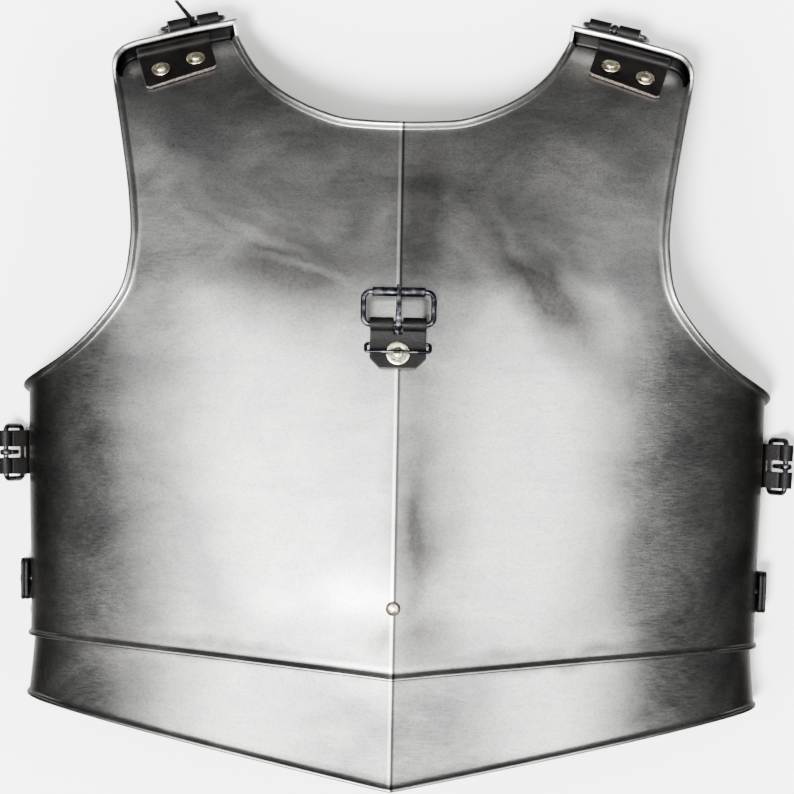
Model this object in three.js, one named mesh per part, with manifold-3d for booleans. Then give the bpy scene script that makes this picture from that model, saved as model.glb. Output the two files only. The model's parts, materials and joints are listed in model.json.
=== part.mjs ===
// Steel breastplate with a waist plate, leather shoulder tabs, and buckles at the chest, shoulders and sides.
// It lies on its open back: x runs across the chest, y up the body and z out of the chest, in millimetres.

import * as THREE from 'three';
import { mergeVertices } from 'three/addons/utils/BufferGeometryUtils.js';
import Module from 'manifold-3d';

const wasm = await Module();
wasm.setup();

// Sheet metal. Heights along the body are measured from the lower corner of the arm hole.
const sheetThickness = 1.5;
const seatGap = 0.3;
const plateGap = 1;
const chestHalfWidth = 213.5;
const waistTaper = 3.5;
const waistHalfWidth = chestHalfWidth - waistTaper;
const armHalfWidth = 147.9;
const neckHalfWidth = 100.4;
const sideLength = 132;
const keelDip = 16.5;
const keelBelowArms = sideLength + keelDip;
const neckRise = 155;
const shoulderRise = 209;
const shoulderDrop = 12.5;
const chestDepth = 133;
const widestHeight = 22;
const keelHeight = 10;
const keelSpread = 60;
const lowerEdgeSharpness = 1.4;

// Turned edges.
const rollWidth = 5.3;
const rollRise = 3.4;
const shoulderFlangeHeight = 12;
const flangeWrapLength = 12;
const edgeFlangeWidth = 4.8;
const edgeFlangeRise = 4.2;

// Waist plate.
const fauldTuckCentre = 45.5;
const fauldTuckSide = 19;
const fauldTipLength = 62;
const fauldSideLength = 34;
const fauldTopCentre = keelBelowArms - fauldTuckCentre;
const fauldTopSide = sideLength - fauldTuckSide;
const fauldTipDrop = keelBelowArms + fauldTipLength;
const fauldSideDrop = sideLength + fauldSideLength;
const fauldFlare = 2.6;
const fauldDepthFlare = 7;

// Dome rivets that join the two plates.
const domeRadius = 4.2;
const domeHeight = 2.6;
const domeShankRadius = 1.8;
const domeEdgeDistance = 9;
const centreRivetDrop = fauldTopCentre + domeEdgeDistance + 1;
const sideRivetDrop = fauldTopSide + domeEdgeDistance + 1;
const sideRivetHeight = 9;

// Leather and its rivets.
const leatherThickness = 2.2;
const holeClearance = 0.3;
const shankRadius = 1.5;
const headRadius = 3.4;
const headHeight = 1.8;
const tailHeight = 1;
const tailGap = 0.9;
const washerRadius = 5.4;
const washerThickness = 0.9;

// Buckles, which all share one pattern.
const wireRadius = 1.6;
const barClearance = 0.35;
const prongWidth = 3.4;
const prongThickness = 2.1;
const slotWidth = 5.4;
const slotLength = 4.8;
const rollerRadius = 2.8;

// Chest buckle.
const chestBarRise = 44;
const chestFrameWidth = 42.4;
const chestFrameDepth = 18.4;
const chestStrapWidth = 31.4;
const chestStrapLength = 24.4;
const chestChamfer = 5.5;
const chestRivetDistance = 16.3;
const chestWasherRadius = 6.6;
const keeperWidth = 36;
const keeperCorner = 1.9;
const keeperWireRadius = 1;
const keeperDistance = 10.7;

// Shoulder tabs and buckles.
const tabWidth = 42;
const tabCentre = 126.4;
const tabDrop = 25;
const tabLean = 19;
const tabBendRadius = 3;
const tabRivetSpacing = 20.6;
const tabRivetDistance = 7.6;
const shoulderStrapWidth = 30;
const shoulderStrapCentre = 118.5;
const shoulderStrapTail = 15;
const shoulderStrapPull = 0.68; // share of the tail's length that its end moves down the body
const shoulderStrapDip = 2.6; // below the plate's bent end
const shoulderStrapRise = 1.5; // where it turns up behind the flange
const shoulderStrapLift = 0.6; // away from the flange at the bar
const underGap = 1.7;
const shoulderFrameWidth = 39;
const shoulderFrameDepth = 19;
const shoulderBarHeight = 9.5;
const shoulderBarBehind = 10;
const shoulderFrameAngle = -44;
const leftProngAngle = 134;
const leftProngSkew = 0.5;

// Side straps and buckles.
const sideStrapDrop = 0.24 * sideLength;
const sideStrapWidth = 25.5;
const sideStrapSeat = 11;
const sideLegLength = 8.5;
const sideFlapReach = 10.8;
const sideFlapRise = 11.5;
const sideSlotLength = 7.5;
const sideWasherRadius = 3.9;
const sideFrameWidth = 34;
const sideFrameDepth = 17.6;
const sideFrameAngle = -160;
const lowerTabAboveEdge = 27;
const lowerTabDrop = sideLength - lowerTabAboveEdge;
const lowerTabWidth = 24;
const lowerTabHeight = 26;
const lowerTabSeat = 4;

// Mesh fineness.
const columns = 13;
const lowerRows = 6;
const middleRows = 6;
const upperRows = 8;
const fauldRows = 4;
const wireSides = 6;
const cornerSteps = 3;
const rivetSides = 8;
const washerSides = 12;

// Cross sections of the torso, from the lower edge (height 0) to the top of the shoulders (height 1).
// width goes from the waist (0) to the chest (1); depth and keel are shares of chestDepth and keelHeight.
const sections = [
  { height: 0, width: 0, depth: 0.932, keel: 1 },
  { height: 0.12, width: 0.12, depth: 1, keel: 1 },
  { height: 0.26, width: 0.6, depth: 0.989, keel: 1 },
  { height: 0.42, width: 1, depth: 0.948, keel: 1 },
  { height: 0.59, width: 1, depth: 0.866, keel: 0.95 },
  { height: 0.67, width: 1, depth: 0.797, keel: 0.85 },
  { height: 0.75, width: 1, depth: 0.712, keel: 0.65 },
  { height: 0.845, width: 1, depth: 0.583, keel: 0.4 },
  { height: 0.915, width: 1, depth: 0.432, keel: 0.2 },
  { height: 0.97, width: 1, depth: 0.25, keel: 0.12 },
  { height: 1, width: 1, depth: 0.15, keel: 0.1 },
];

// Arm hole from its lower corner up to the shoulder: rise is a share of the outer shoulder's height,
// reach goes from the narrowest width between the arm holes (0) to the chest's width (1).
const armHole = [
  { rise: 0.053, reach: 0.864 },
  { rise: 0.14, reach: 0.486 },
  { rise: 0.289, reach: 0.107 },
  { rise: 0.445, reach: 0 },
  { rise: 0.593, reach: 0.021 },
  { rise: 0.742, reach: 0.091 },
  { rise: 0.855, reach: 0.154 },
  { rise: 0.916, reach: 0.192 },
  { rise: 0.957, reach: 0.2 },
  { rise: 0.985, reach: 0.154 },
  { rise: 1, reach: 0.0625 },
];

// Neck opening from the keel out to the shoulder, in shares of its half width and its depth.
const neckLine = [
  { out: 0, rise: 0 },
  { out: 0.18, rise: 0.012 },
  { out: 0.367, rise: 0.048 },
  { out: 0.566, rise: 0.187 },
  { out: 0.735, rise: 0.37 },
  { out: 0.8625, rise: 0.59 },
  { out: 0.942, rise: 0.806 },
  { out: 1, rise: 1 },
];

// Profiles of the turned edges. out runs away from the plate, rise stands off its outer face.
// back marks the points on the inner face, which the sheet's thickness is added to.
const rollShape = [
  { out: 0, rise: 0 },
  { out: 0.16, rise: 0.12 },
  { out: 0.28, rise: 0.65 },
  { out: 0.5, rise: 1 },
  { out: 0.78, rise: 0.93 },
  { out: 0.96, rise: 0.55 },
  { out: 1, rise: 0.05 },
  { out: 0.86, rise: -0.4 },
  { out: 0.6, rise: -0.6 },
  { out: 0.25, rise: -0.52 },
];
const edgeShape = [
  { out: 0, rise: 0 },
  { out: 0.3, rise: 0.12 },
  { out: 0.48, rise: 0.42 },
  { out: 0.57, rise: 0.95 },
  { out: 0.75, rise: 1.12 },
  { out: 0.95, rise: 1.02 },
  { out: 1, rise: 0.72 },
  { out: 0.92, rise: 0.34 },
  { out: 0.72, rise: 0 },
  { out: 0.4, rise: -0.22 },
];

const radians = THREE.MathUtils.degToRad;
const lerp = THREE.MathUtils.lerp;
const smoothstep = THREE.MathUtils.smoothstep;
const vector = (x, y, z) => new THREE.Vector3(x, y, z);

// Smooth value of one column of a table at a height, by cubic pieces through its rows.
function tableValue(rows, column, height) {
  const last = rows.length - 1;
  const slopeAt = (index) => {
    const before = rows[Math.max(index - 1, 0)];
    const after = rows[Math.min(index + 1, last)];
    return (after[column] - before[column]) / (after.height - before.height);
  };
  if (height <= rows[0].height) {
    return rows[0][column] + slopeAt(0) * (height - rows[0].height);
  }
  if (height >= rows[last].height) {
    return rows[last][column] + slopeAt(last) * (height - rows[last].height);
  }
  let index = 0;
  while (rows[index + 1].height < height) {
    index += 1;
  }
  const low = rows[index];
  const high = rows[index + 1];
  const span = high.height - low.height;
  const t = (height - low.height) / span;
  const rise = (high[column] - low[column]) * (3 * t * t - 2 * t * t * t);
  const start = slopeAt(index) * span * (t - 2 * t * t + t * t * t);
  const end = slopeAt(index + 1) * span * (t * t * t - t * t);
  return low[column] + rise + start + end;
}

const plateLength = keelBelowArms + shoulderRise;
const heightShare = (y) => (y + keelBelowArms) / plateLength;
const halfWidthAt = (y) => lerp(waistHalfWidth, chestHalfWidth, tableValue(sections, 'width', heightShare(y)));
const depthAt = (y) => chestDepth * tableValue(sections, 'depth', heightShare(y));
const keelAt = (y) => keelHeight * tableValue(sections, 'keel', heightShare(y));

// Point of the outer face at an angle from the keel and a height up the body, on the right half.
function platePoint(angle, y) {
  const x = halfWidthAt(y) * Math.sin(angle);
  const z = widestHeight + depthAt(y) * Math.cos(angle) + keelAt(y) * Math.exp(-x / keelSpread);
  return vector(x, y, z);
}

// Angle at which the section reaches the floor.
function floorAngle(y) {
  let angle = Math.PI / 2;
  for (let round = 0; round < 4; round++) {
    const ridge = keelAt(y) * Math.exp(-halfWidthAt(y) * Math.sin(angle) / keelSpread);
    angle = Math.acos(-(widestHeight + ridge) / depthAt(y));
  }
  return angle;
}

function surfaceNormal(point, angle, y) {
  const step = 0.002;
  const across = point(angle + step, y).sub(point(angle, y));
  const along = point(angle, y + step * 50).sub(point(angle, y - step * 50));
  return across.cross(along).normalize();
}

// Point and outward normal of the breastplate's outer face over a plan position, on either half.
function seatAt(x, y) {
  const side = x < 0 ? -1 : 1;
  const angle = Math.asin(Math.min(Math.abs(x) / halfWidthAt(y), 1));
  const point = platePoint(angle, y);
  const normal = surfaceNormal(platePoint, angle, y);
  if (Math.abs(x) < 0.001) {
    normal.x = 0;
    normal.normalize();
  }
  point.x *= side;
  normal.x *= side;
  return { point, normal };
}

const lowerEdge = (angle) => {
  const dip = (1 - Math.sin(Math.min(angle, Math.PI / 2))) ** lowerEdgeSharpness;
  return -sideLength - (keelBelowArms - sideLength) * dip;
};

// Edge curves in the plane of angle and height.
const shoulderOuterRise = shoulderRise - shoulderDrop;
const planToAngle = (x, y) => new THREE.Vector2(Math.asin(x / halfWidthAt(y)), y);
const armCurve = new THREE.SplineCurve([
  new THREE.Vector2(floorAngle(0), 0),
  ...armHole.map((row) => {
    const y = row.rise * shoulderOuterRise;
    return planToAngle(lerp(armHalfWidth, chestHalfWidth, row.reach), y);
  }),
]);
const neckCurve = new THREE.SplineCurve(neckLine.map((row) => {
  const y = lerp(neckRise, shoulderRise, row.rise);
  return planToAngle(row.out * neckHalfWidth, y);
}));

// Rows of the breastplate's grid, each from the keel or neck to the side or arm hole.
const armSplit = 0.5;
function breastplateRows() {
  const rows = [];
  for (let row = 0; row <= lowerRows; row++) {
    const t = row / lowerRows;
    const y = lerp(-sideLength, 0, t);
    rows.push({
      inner: new THREE.Vector2(0, lerp(-keelBelowArms, 0, t)),
      outer: new THREE.Vector2(floorAngle(y), y),
      edgeShare: 1 - t,
      onFloor: true,
    });
  }
  for (let row = 1; row <= middleRows; row++) {
    const t = row / middleRows;
    rows.push({
      inner: new THREE.Vector2(0, lerp(0, neckRise, t)),
      outer: armCurve.getPoint(t * armSplit),
      edgeShare: 0,
      onFloor: false,
    });
  }
  for (let row = 1; row <= upperRows; row++) {
    const t = row / upperRows;
    rows.push({
      inner: neckCurve.getPoint(t),
      outer: armCurve.getPoint(lerp(armSplit, 1, t)),
      edgeShare: 0,
      onFloor: false,
    });
  }
  return rows;
}

// Grid of points and normals of a half plate, with its side edge set flat on the floor.
function sheetGrid(rows, pointOn, bottomEdge) {
  return rows.map((row) => {
    const line = [];
    for (let column = 0; column <= columns; column++) {
      const u = column / columns;
      const angle = lerp(row.inner.x, row.outer.x, u);
      let y = lerp(row.inner.y, row.outer.y, u);
      if (row.edgeShare > 0) {
        const ruled = lerp(rows[0].inner.y, rows[0].outer.y, u);
        y += row.edgeShare * (bottomEdge(angle) - ruled);
      }
      const point = pointOn(angle, y);
      const normal = surfaceNormal(pointOn, angle, y);
      if (angle < 0.0001) {
        point.x = 0;
        normal.x = 0;
        normal.normalize();
      }
      if (row.onFloor && column === columns) {
        point.z = 0;
        normal.set(1, 0, 0);
      }
      line.push({ point, normal });
    }
    return line;
  });
}

// Profiles as lists of distances out of the plate and off its outer face.
const rollProfile = [
  ...rollShape.map((spot) => [spot.out * rollWidth, spot.rise * rollRise]),
  [0, -sheetThickness],
];
const edgeProfile = [
  ...edgeShape.map((spot) => [spot.out * edgeFlangeWidth, spot.rise * edgeFlangeRise]),
  [0, -sheetThickness],
];
const flangeFront = 2;
const beadRadius = 1.7;
const beadCentre = flangeFront + sheetThickness / 2;
const flangeProfile = [
  [0, 0],
  [0.7 * flangeFront, 0.4],
  [flangeFront, 2],
  [flangeFront, shoulderFlangeHeight - 2.4 * beadRadius],
  [beadCentre - beadRadius, shoulderFlangeHeight - 1.2 * beadRadius],
  [beadCentre - 0.4 * beadRadius, shoulderFlangeHeight - 0.1 * beadRadius],
  [beadCentre + 0.7 * beadRadius, shoulderFlangeHeight - 0.3 * beadRadius],
  [beadCentre + beadRadius, shoulderFlangeHeight - 1.2 * beadRadius],
  [flangeFront + sheetThickness, shoulderFlangeHeight - 2.4 * beadRadius],
  [flangeFront + sheetThickness, 0.2],
  [0, -sheetThickness],
];
const mixProfiles = (first, second, share) =>
  first.map((spot, index) => [
    lerp(spot[0], second[index][0], share),
    lerp(spot[1], second[index][1], share),
  ]);

// Collects triangles and turns them into one closed body.
class Skin {
  constructor() {
    this.positions = [];
  }

  triangle(a, b, c) {
    this.positions.push(...a.toArray(), ...b.toArray(), ...c.toArray());
  }

  quad(a, b, c, d) {
    this.triangle(a, b, c);
    this.triangle(a, c, d);
  }

  mirror() {
    const half = this.positions.slice();
    for (let start = 0; start < half.length; start += 9) {
      for (const corner of [6, 3, 0]) {
        this.positions.push(-half[start + corner], half[start + corner + 1], half[start + corner + 2]);
      }
    }
  }

  geometry() {
    const raw = new THREE.BufferGeometry();
    raw.setAttribute('position', new THREE.Float32BufferAttribute(this.positions, 3));
    return tidy(raw);
  }
}

// Merged copy of a geometry without flat triangles, with its faces pointing out.
function tidy(source) {
  const copy = source.clone();
  copy.deleteAttribute('normal');
  copy.deleteAttribute('uv');
  const merged = mergeVertices(copy, 0.0005);
  const index = merged.getIndex().array;
  const spots = merged.getAttribute('position');
  const faces = [];
  let volume = 0;
  for (let start = 0; start < index.length; start += 3) {
    const [a, b, c] = [index[start], index[start + 1], index[start + 2]];
    if (a === b || b === c || a === c) {
      continue;
    }
    faces.push(a, b, c);
    const [p, q, r] = [a, b, c].map((spot) => vector(spots.getX(spot), spots.getY(spot), spots.getZ(spot)));
    volume += p.dot(q.cross(r));
  }
  if (volume < 0) {
    faces.reverse();
  }
  merged.setIndex(faces);
  return merged;
}

// Outward direction in the sheet at a point of its edge.
const edgeOut = (before, after, normal) => after.clone().sub(before).cross(normal).normalize();

function profileRing(spot, out, profile) {
  return profile.map(([far, rise]) =>
    spot.point.clone().addScaledVector(out, far).addScaledVector(spot.normal, rise));
}

// Rings along a stretch of edge; outAtStart and outAtEnd fix the direction at its two ends.
function edgeRings(spots, profileAt, outAtStart, outAtEnd) {
  const last = spots.length - 1;
  return spots.map((spot, index) => {
    let out = edgeOut(spots[Math.max(index - 1, 0)].point, spots[Math.min(index + 1, last)].point, spot.normal);
    if (index === 0 && outAtStart) {
      out = outAtStart(out);
    }
    if (index === last && outAtEnd) {
      out = outAtEnd(out);
    }
    return profileRing(spot, out, profileAt(spot));
  });
}

function stitchRings(skin, rings) {
  for (let index = 0; index + 1 < rings.length; index++) {
    const [here, next] = [rings[index], rings[index + 1]];
    for (let spot = 0; spot + 1 < here.length; spot++) {
      skin.quad(next[spot], here[spot], here[spot + 1], next[spot + 1]);
    }
  }
}

function plainEdge(skin, spots) {
  stitchRings(skin, spots.map((spot) => [spot.point, innerPoint(spot)]));
}

const innerPoint = (spot) => spot.point.clone().addScaledVector(spot.normal, -sheetThickness);

// Flat end of a turned edge, facing the floor.
function capRing(skin, ring, profile, flip) {
  const outline = profile.map(([far, rise]) => new THREE.Vector2(far, rise));
  for (const [a, b, c] of THREE.ShapeUtils.triangulateShape(outline, [])) {
    if (flip) {
      skin.triangle(ring[a], ring[b], ring[c]);
    } else {
      skin.triangle(ring[c], ring[b], ring[a]);
    }
  }
}

function bothFaces(skin, grid) {
  for (let row = 0; row + 1 < grid.length; row++) {
    for (let column = 0; column < columns; column++) {
      const corners = [
        grid[row][column],
        grid[row][column + 1],
        grid[row + 1][column + 1],
        grid[row + 1][column],
      ];
      const [a, b, c, d] = corners.map((spot) => spot.point);
      const [e, f, g, h] = corners.map(innerPoint);
      skin.quad(a, b, c, d);
      skin.quad(h, g, f, e);
    }
  }
}

const inMirrorPlane = (out) => vector(0, out.y, out.z).normalize();
const alongBody = (sign) => () => vector(0, sign, 0);

function breastplateGeometry() {
  const grid = sheetGrid(breastplateRows(), platePoint, lowerEdge);
  const top = grid.length - 1;
  const skin = new Skin();
  bothFaces(skin, grid);

  const bottom = grid[0];
  const bottomRings = edgeRings(bottom, () => edgeProfile, inMirrorPlane, alongBody(-1));
  stitchRings(skin, bottomRings);
  capRing(skin, bottomRings[columns], edgeProfile, false);

  plainEdge(skin, grid.slice(0, lowerRows + 1).map((line) => line[columns]));

  // The shoulder flange runs on round the outer corner and fades into the arm hole's roll.
  const armSide = grid.slice(lowerRows).map((line) => line[columns]);
  const wrapTop = shoulderOuterRise - 0.5 * flangeWrapLength;
  const armProfile = (spot) => {
    const share = smoothstep(spot.point.y, wrapTop - flangeWrapLength, wrapTop);
    return mixProfiles(rollProfile, flangeProfile, share);
  };
  const topSide = grid[top].slice().reverse();
  const outerEdge = [...armSide, ...topSide.slice(1)];
  const outerRings = edgeRings(outerEdge, armProfile, alongBody(1), null);
  const neckSide = grid.slice(lowerRows + middleRows).map((line) => line[0]).reverse();
  const neckRings = edgeRings(neckSide, () => rollProfile, null, inMirrorPlane);

  // At the neck's corner the flange and the neck's roll share one mitred ring.
  const corner = neckSide[0];
  const flangeOut = edgeOut(topSide[columns - 1].point, corner.point, corner.normal);
  const neckOut = edgeOut(corner.point, neckSide[1].point, corner.normal);
  const mitre = flangeProfile.map(([far, rise], index) =>
    corner.point.clone()
      .addScaledVector(flangeOut, far)
      .addScaledVector(neckOut, rollProfile[index][0])
      .addScaledVector(corner.normal, rise));
  outerRings[outerRings.length - 1] = mitre;
  neckRings[0] = mitre;
  stitchRings(skin, outerRings);
  stitchRings(skin, neckRings);
  capRing(skin, outerRings[0], rollProfile, true);
  skin.mirror();
  return skin.geometry();
}

// Waist plate: it follows the inside of the breastplate, then flares out below its edge.
const fauldInset = sheetThickness + plateGap;
const fauldTop = (angle) => lerp(-fauldTopCentre, -fauldTopSide, Math.sin(Math.min(angle, Math.PI / 2)));
const fauldBottom = (angle) => lerp(-fauldTipDrop, -fauldSideDrop, Math.sin(Math.min(angle, Math.PI / 2)));

function fauldPoint(angle, y) {
  const edge = lowerEdge(angle);
  const share = THREE.MathUtils.clamp((edge - y) / (edge - fauldBottom(angle)), 0, 1) ** 1.3;
  const held = Math.max(y, edge);
  const x = (halfWidthAt(held) - fauldInset + share * fauldFlare) * Math.sin(angle);
  const depth = depthAt(held) - fauldInset + share * fauldDepthFlare;
  return vector(x, y, widestHeight + depth * Math.cos(angle) + keelAt(held) * Math.exp(-x / keelSpread));
}

function fauldFloorAngle(y) {
  let angle = Math.PI / 2;
  for (let round = 0; round < 12; round++) {
    angle += fauldPoint(angle, y).z / chestDepth;
  }
  return angle;
}

function fauldGeometry() {
  const rows = [];
  for (let row = 0; row <= fauldRows; row++) {
    const t = row / fauldRows;
    const below = lerp(-fauldSideDrop, -sideLength, Math.min(2 * t, 1));
    const y = lerp(below, -fauldTopSide, Math.max(2 * t - 1, 0));
    rows.push({
      inner: new THREE.Vector2(0, lerp(-fauldTipDrop, -fauldTopCentre, t)),
      outer: new THREE.Vector2(fauldFloorAngle(y), y),
      t,
    });
  }
  const grid = rows.map((row) => {
    const line = [];
    for (let column = 0; column <= columns; column++) {
      const angle = lerp(0, row.outer.x, column / columns);
      const below = lerp(fauldBottom(angle), lowerEdge(angle), Math.min(2 * row.t, 1));
      const y = lerp(below, fauldTop(angle), Math.max(2 * row.t - 1, 0));
      const point = fauldPoint(angle, y);
      const normal = surfaceNormal(fauldPoint, angle, y);
      if (column === 0) {
        point.x = 0;
        normal.x = 0;
        normal.normalize();
      }
      if (column === columns) {
        point.z = 0;
        normal.set(1, 0, 0);
      }
      line.push({ point, normal });
    }
    return line;
  });
  const skin = new Skin();
  bothFaces(skin, grid);
  const bottomRings = edgeRings(grid[0], () => edgeProfile, inMirrorPlane, alongBody(-1));
  stitchRings(skin, bottomRings);
  capRing(skin, bottomRings[columns], edgeProfile, false);
  plainEdge(skin, grid.map((line) => line[columns]));
  plainEdge(skin, grid[fauldRows].slice().reverse());
  skin.mirror();
  return skin.geometry();
}

// Cuts and joins.
function toSolid(geometry) {
  const merged = tidy(geometry);
  return new wasm.Manifold(new wasm.Mesh({
    numProp: 3,
    vertProperties: new Float32Array(merged.getAttribute('position').array),
    triVerts: new Uint32Array(merged.getIndex().array),
  }));
}

function toGeometry(solid) {
  const mesh = solid.getMesh();
  const geometry = new THREE.BufferGeometry();
  geometry.setAttribute('position', new THREE.Float32BufferAttribute(mesh.vertProperties, 3));
  geometry.setIndex([...mesh.triVerts]);
  return geometry;
}

function cut(geometry, cutters) {
  let solid = toSolid(geometry);
  for (const cutter of cutters) {
    solid = solid.subtract(toSolid(cutter));
  }
  return toGeometry(solid);
}

// Frame of reference from an origin and two directions: local x along first, local z along third.
function frameAt(origin, first, third) {
  const w = third.clone().normalize();
  const u = first.clone().addScaledVector(w, -first.dot(w)).normalize();
  return new THREE.Matrix4().makeBasis(u, w.clone().cross(u), w).setPosition(origin);
}

const frameOnPlate = (x, y) => {
  const { point, normal } = seatAt(x, y);
  return frameAt(point, vector(1, 0, 0), normal);
};

// Rivet along local z: the head stands on headSeat, the peened tail closes under tailSeat.
function rivetGeometry(size, headSeat, tailSeat) {
  const profile = [
    [0, tailSeat - size.tail],
    [size.head * 0.6, tailSeat - size.tail],
    [size.head * 0.8, tailSeat],
    [size.shank, tailSeat],
    [size.shank, headSeat],
    [size.head, headSeat],
    [size.head * 0.86, headSeat + size.rise * 0.55],
    [size.head * 0.45, headSeat + size.rise * 0.93],
    [0, headSeat + size.rise],
  ].map(([radius, height]) => new THREE.Vector2(radius, height));
  return tidy(new THREE.LatheGeometry(profile, rivetSides).rotateX(Math.PI / 2));
}

function washerGeometry(radius, hole) {
  const profile = [
    [hole, 0],
    [radius, 0],
    [radius, washerThickness * 0.5],
    [radius * 0.9, washerThickness],
    [hole, washerThickness],
    [hole, 0],
  ].map(([far, height]) => new THREE.Vector2(far, height));
  return tidy(new THREE.LatheGeometry(profile, washerSides).rotateX(Math.PI / 2));
}

const holeCutter = (shank, frame, reach) =>
  new THREE.CylinderGeometry(shank + holeClearance, shank + holeClearance, reach, rivetSides)
    .rotateX(Math.PI / 2)
    .applyMatrix4(frame);

const steel = (colour, roughness) =>
  new THREE.MeshStandardMaterial({ color: colour, roughness, metalness: 1 });
const plateSteel = () => steel(0x9a9a9a, 0.35);
const rivetSteel = () => steel(0xc9c6bd, 0.3);
const buckleSteel = () => steel(0x4a4b50, 0.4);
const blackLeather = () => new THREE.MeshStandardMaterial({ color: 0x1d1716, roughness: 0.6, metalness: 0 });

function named(name, geometry, material, frame) {
  const mesh = new THREE.Mesh(geometry, material);
  mesh.name = name;
  if (frame) {
    mesh.applyMatrix4(frame);
  }
  return mesh;
}

const smallRivet = { head: headRadius, rise: headHeight, tail: tailHeight, shank: shankRadius };
const domeRivet = { head: domeRadius, rise: domeHeight, tail: tailHeight, shank: domeShankRadius };
const part = new THREE.Group();
const breastplateCuts = [];
const fauldCuts = [];
const drillReach = 40;

// How far the inner face falls away beside the keel under a rivet's tail.
const ridgeDrop = 1.2 * keelHeight * domeRadius / keelSpread;

// The three rivets that carry the waist plate.
function addFauldRivets() {
  const tailSeat = -(2 * sheetThickness + plateGap + seatGap + ridgeDrop);
  const sideX = (y) => Math.sin(Math.acos((sideRivetHeight - widestHeight) / depthAt(y))) * halfWidthAt(y);
  const sideFrame = (side) => {
    const y = -sideRivetDrop;
    const point = vector(side * sideX(y), y, sideRivetHeight);
    return frameAt(point, vector(0, side, 0), vector(side, 0, (sideRivetHeight - widestHeight) / chestDepth));
  };
  const seats = {
    fauld_rivet_centre: frameOnPlate(0, -centreRivetDrop),
    fauld_rivet_left: sideFrame(-1),
    fauld_rivet_right: sideFrame(1),
  };
  for (const [name, frame] of Object.entries(seats)) {
    part.add(named(name, rivetGeometry(domeRivet, seatGap, tailSeat), rivetSteel(), frame));
    breastplateCuts.push(holeCutter(domeRivet.shank, frame, drillReach));
    fauldCuts.push(holeCutter(domeRivet.shank, frame, drillReach));
  }
}

// Closed loop of round wire in the local xy plane: a rounded rectangle from y 0 to depth.
function wireLoop(width, depth, corner, radius) {
  const centres = [
    [width / 2 - corner, depth - corner, 0],
    [-width / 2 + corner, depth - corner, 90],
    [-width / 2 + corner, corner, 180],
    [width / 2 - corner, corner, 270],
  ];
  const rings = [];
  for (const [x, y, start] of centres) {
    for (let step = 0; step <= cornerSteps; step++) {
      const turn = radians(start + 90 * step / cornerSteps);
      const out = vector(Math.cos(turn), Math.sin(turn), 0);
      const centre = vector(x, y, 0).addScaledVector(out, corner);
      const ring = [];
      for (let side = 0; side < wireSides; side++) {
        const around = 2 * Math.PI * (side + 0.5) / wireSides;
        const spot = centre.clone().addScaledVector(out, radius * Math.cos(around));
        spot.z += radius * Math.sin(around);
        ring.push(spot);
      }
      rings.push(ring);
    }
  }
  const skin = new Skin();
  rings.forEach((ring, index) => {
    const next = rings[(index + 1) % rings.length];
    ring.forEach((spot, side) => {
      const other = (side + 1) % wireSides;
      skin.quad(spot, next[side], next[other], ring[other]);
    });
  });
  return skin.geometry();
}

// Side profiles are drawn in a plane of distance and height, then extruded across the width.
function acrossWidth(shape, width, steps) {
  const drawn = { depth: width, steps, bevelEnabled: false, curveSegments: 6 };
  const geometry = new THREE.ExtrudeGeometry(shape, drawn);
  geometry.translate(0, 0, -width / 2);
  const turn = new THREE.Matrix4().makeBasis(vector(0, 1, 0), vector(0, 0, 1), vector(1, 0, 0));
  return geometry.applyMatrix4(turn);
}

function circlePoints(x, y, radius, start, end, steps) {
  const points = [];
  for (let step = 0; step <= steps; step++) {
    const turn = lerp(start, end, step / steps);
    points.push(new THREE.Vector2(x + radius * Math.cos(turn), y + radius * Math.sin(turn)));
  }
  return points;
}

// Prong: an eye round the bar at the origin and a tongue that rests over the far bar.
const prongEyeRadius = wireRadius + barClearance + prongThickness * 0.8;
function prongGeometry(depth, topRadius, skew) {
  const seat = topRadius + seatGap + wireRadius * 0.1;
  const reach = depth + topRadius + 1.4;
  const shape = new THREE.Shape([
    ...circlePoints(0, 0, prongEyeRadius, radians(75), radians(335), 9),
    new THREE.Vector2(depth * 0.55, seat * 0.45),
    new THREE.Vector2(depth - 0.6 * topRadius, seat),
    new THREE.Vector2(reach, seat),
    new THREE.Vector2(reach + 0.6, seat + prongThickness * 0.4),
    new THREE.Vector2(reach - 0.8, seat + prongThickness * 0.85),
    new THREE.Vector2(depth * 0.6, seat + prongThickness),
    new THREE.Vector2(depth * 0.3, prongEyeRadius * 1.05),
  ]);
  const hole = circlePoints(0, 0, wireRadius + barClearance, 0, 2 * Math.PI, 8).slice(0, -1);
  shape.holes.push(new THREE.Path(hole.reverse()));
  const geometry = acrossWidth(shape, prongWidth, 1);
  const spots = geometry.getAttribute('position');
  for (let index = 0; index < spots.count; index++) {
    const along = Math.max(spots.getY(index) - prongEyeRadius, 0);
    const taper = 1 - 0.45 * along / reach;
    spots.setX(index, spots.getX(index) * taper + skew * along);
  }
  return tidy(geometry);
}

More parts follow.
